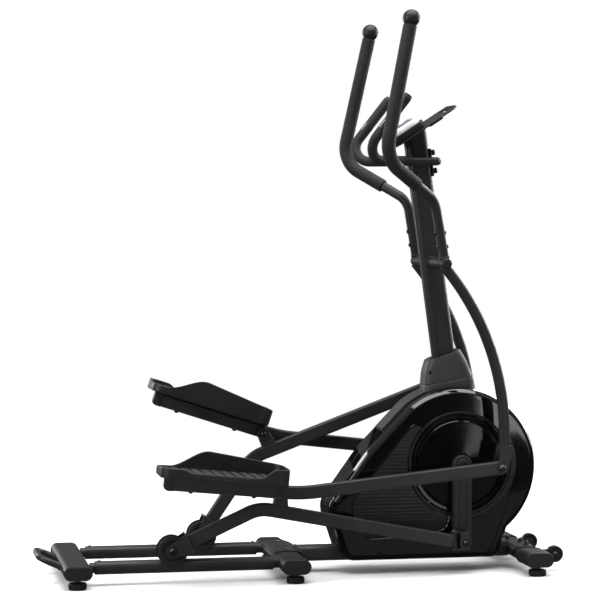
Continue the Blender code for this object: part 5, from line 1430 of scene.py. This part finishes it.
def display_marks():
    """Blank display fields: a thin frame round the glass and three rows of two empty fields."""

    def band(low, high, across, radius, width):
        length, wide = high - low, 2 * across
        outer = moved(rounded(length, wide, radius, 12), (low + high) / 2, 0)
        inner = moved(rounded(length - 2 * width, wide - 2 * width, radius - width, 12), (low + high) / 2, 0)
        rows = [
            [(x, y, z) for x, y in line]
            for line, z in ((outer, 0.039), (outer, 0.0396), (inner, 0.0396), (inner, 0.039))
        ]
        return loft("display_outline", rows, closed=True)

    marks = band(0.0425, 0.0945, 0.0535, 0.0115, 0.0009)
    for row in range(3):
        x = 0.0505 + row * 0.0145
        for y in (-0.024, 0.024):
            field = band(x, x + 0.0105, 0.0195, 0.0022, 0.0005)
            merge(marks, place(field, Matrix.Translation((0, y, 0))))
    put_on_console(marks, INK)


# Inside the housing


def inner_works():
    """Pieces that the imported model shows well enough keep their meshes. They get a finish and soft edges."""
    finishes = {
        "crank_axle": STEEL, "drive_pulley": PLASTIC, "drive_belt": RUBBER, "flywheel": IRON,
        "flywheel_fork": BOLT, "magnet_bracket": STEEL, "swing_axle": BOLT,
    }
    for node, material in finishes.items():
        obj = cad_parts[node]
        obj.data.materials.clear()
        obj.data.materials.append(material)
        soft = obj.modifiers.new("soft_edges", "BEVEL")
        soft.width, soft.segments, soft.limit_method, soft.angle_limit = 0.0004, 2, "ANGLE", radians(40)
        soft.harden_normals = False


# Studio


def floor():
    """A plain pale floor that fades out into the background."""
    size = 7.0
    corners = [(x * size, y * size, 0) for x, y in ((-1, -1), (1, -1), (1, 1), (-1, 1))]
    obj = add_object("studio_floor", corners, [(0, 1, 2, 3)])
    obj.location.z = -0.0004
    material = bpy.data.materials.new("pale_floor")
    material.use_nodes = True
    tree = material.node_tree
    shader = tree.nodes["Principled BSDF"]
    shader.inputs["Base Color"].default_value = (0.86, 0.86, 0.86, 1.0)
    shader.inputs["Roughness"].default_value = 0.85
    shader.inputs["Specular IOR Level"].default_value = 0.1
    add = node_maker(tree)
    far = add("VectorMath", at0=add("TexCoord").outputs["Object"])
    far.operation = "LENGTH"
    fade = add("MapRange", Value=far.outputs["Value"], From_Min=2.0, From_Max=3.6)
    fade.interpolation_type = "SMOOTHSTEP"
    clear = add("BsdfTransparent").outputs["BSDF"]
    blend = add("MixShader", at0=fade.outputs["Result"], at1=shader.outputs["BSDF"], at2=clear)
    tree.links.new(blend.outputs["Shader"], tree.nodes["Material Output"].inputs["Surface"])
    obj.data.materials.append(material)
    obj.visible_glossy = False


def backdrop():
    """The world: white to the camera, and to everything else a studio that is bright above and dark below."""
    world = bpy.data.worlds.new("studio")
    bpy.context.scene.world = world
    world.use_nodes = True
    tree = world.node_tree
    add = node_maker(tree)
    light = tree.nodes["Background"]
    seen = add("Background", Color=(1, 1, 1, 1), Strength=1.0)
    split = add("SeparateXYZ", at0=add("TexCoord").outputs["Generated"])
    up = add("MapRange", Value=split.outputs["Z"], From_Min=-1.0, From_Max=1.0)
    sky = add("ValToRGB", Fac=up.outputs["Result"])
    stops = ((0.0, 0.03), (0.48, 0.03), (0.56, 0.09), (0.75, 0.22), (1.0, 0.75))
    ramp = sky.color_ramp
    while len(ramp.elements) < len(stops):
        ramp.elements.new(0.5)
    for element, (at, value) in zip(ramp.elements, stops):
        element.position, element.color = at, (value, value, value, 1.0)
    tree.links.new(sky.outputs["Color"], light.inputs["Color"])
    to_camera = add("LightPath").outputs["Is Camera Ray"]
    mix = add("MixShader", at0=to_camera, at1=light.outputs[0], at2=seen.outputs[0])
    tree.links.new(mix.outputs[0], tree.nodes["World Output"].inputs["Surface"])


def softbox(name, at, target, wide, tall, power):
    light = bpy.data.lights.new(name, "AREA")
    light.shape, light.size, light.size_y, light.energy = "RECTANGLE", wide, tall, power
    obj = bpy.data.objects.new(name, light)
    bpy.context.scene.collection.objects.link(obj)
    obj.location = at
    obj.rotation_euler = (Vector(target) - Vector(at)).to_track_quat("-Z", "Y").to_euler()
    obj.visible_camera = False


def studio():
    floor()
    backdrop()
    softbox("top_light", (0.1, -0.4, 3.6), (0.0, 0.0, 0.4), 3.6, 3.2, 200.0)
    softbox("rear_light", (-3.4, -1.2, 1.9), (0.0, 0.0, 0.7), 1.2, 2.6, 75.0)
    softbox("front_light", (3.4, 0.8, 1.9), (0.2, 0.0, 0.7), 1.2, 2.6, 75.0)
    softbox("back_left_rim", (-2.2, 3.2, 1.5), (0.0, 0.0, 0.7), 1.0, 2.4, 60.0)
    softbox("back_right_rim", (2.6, 3.0, 1.5), (0.2, 0.0, 0.7), 1.0, 2.4, 60.0)
    softbox("low_card", (1.87, -3.0, 0.39), (0.65, -0.088, 0.48), 1.1, 0.6, 6.5)
    softbox("low_fill", (1.45, -3.4, -0.57), (1.2, 0.0, -0.5), 2.2, 0.74, 0.9)
    camera = bpy.data.cameras.new("camera")
    camera.lens, camera.sensor_width = 138.5, 36.0
    obj = bpy.data.objects.new("camera", camera)
    bpy.context.scene.collection.objects.link(obj)
    obj.location = (-1.214, -6.526, 1.051)
    obj.rotation_euler = (radians(87.7), 0.0, radians(-10.61))
    bpy.context.scene.camera = obj
    bpy.context.scene.view_settings.view_transform = "Standard"


def build():
    for make in (
        floor_bars, carry_handle, saddles, wheels, feet, rails, main_frame, mast, mast_cover, mast_collar,
        housings, crank_discs, crank_arms, inner_works,
    ):
        make()
    for name, side in SIDES.items():
        link, arm, swing = link_frame(side), arm_frame(side), swing_frame(side)
        roller_link(name, side, link)
        crank_bearing(name, side, link)
        roller(name, link)
        pedal_arm(name, side, arm)
        pedal(name, side, arm)
        swing_arm(name, side, swing)
        handlebar(name, side, swing)
    fixed_handlebar()
    console()
    studio()


build()
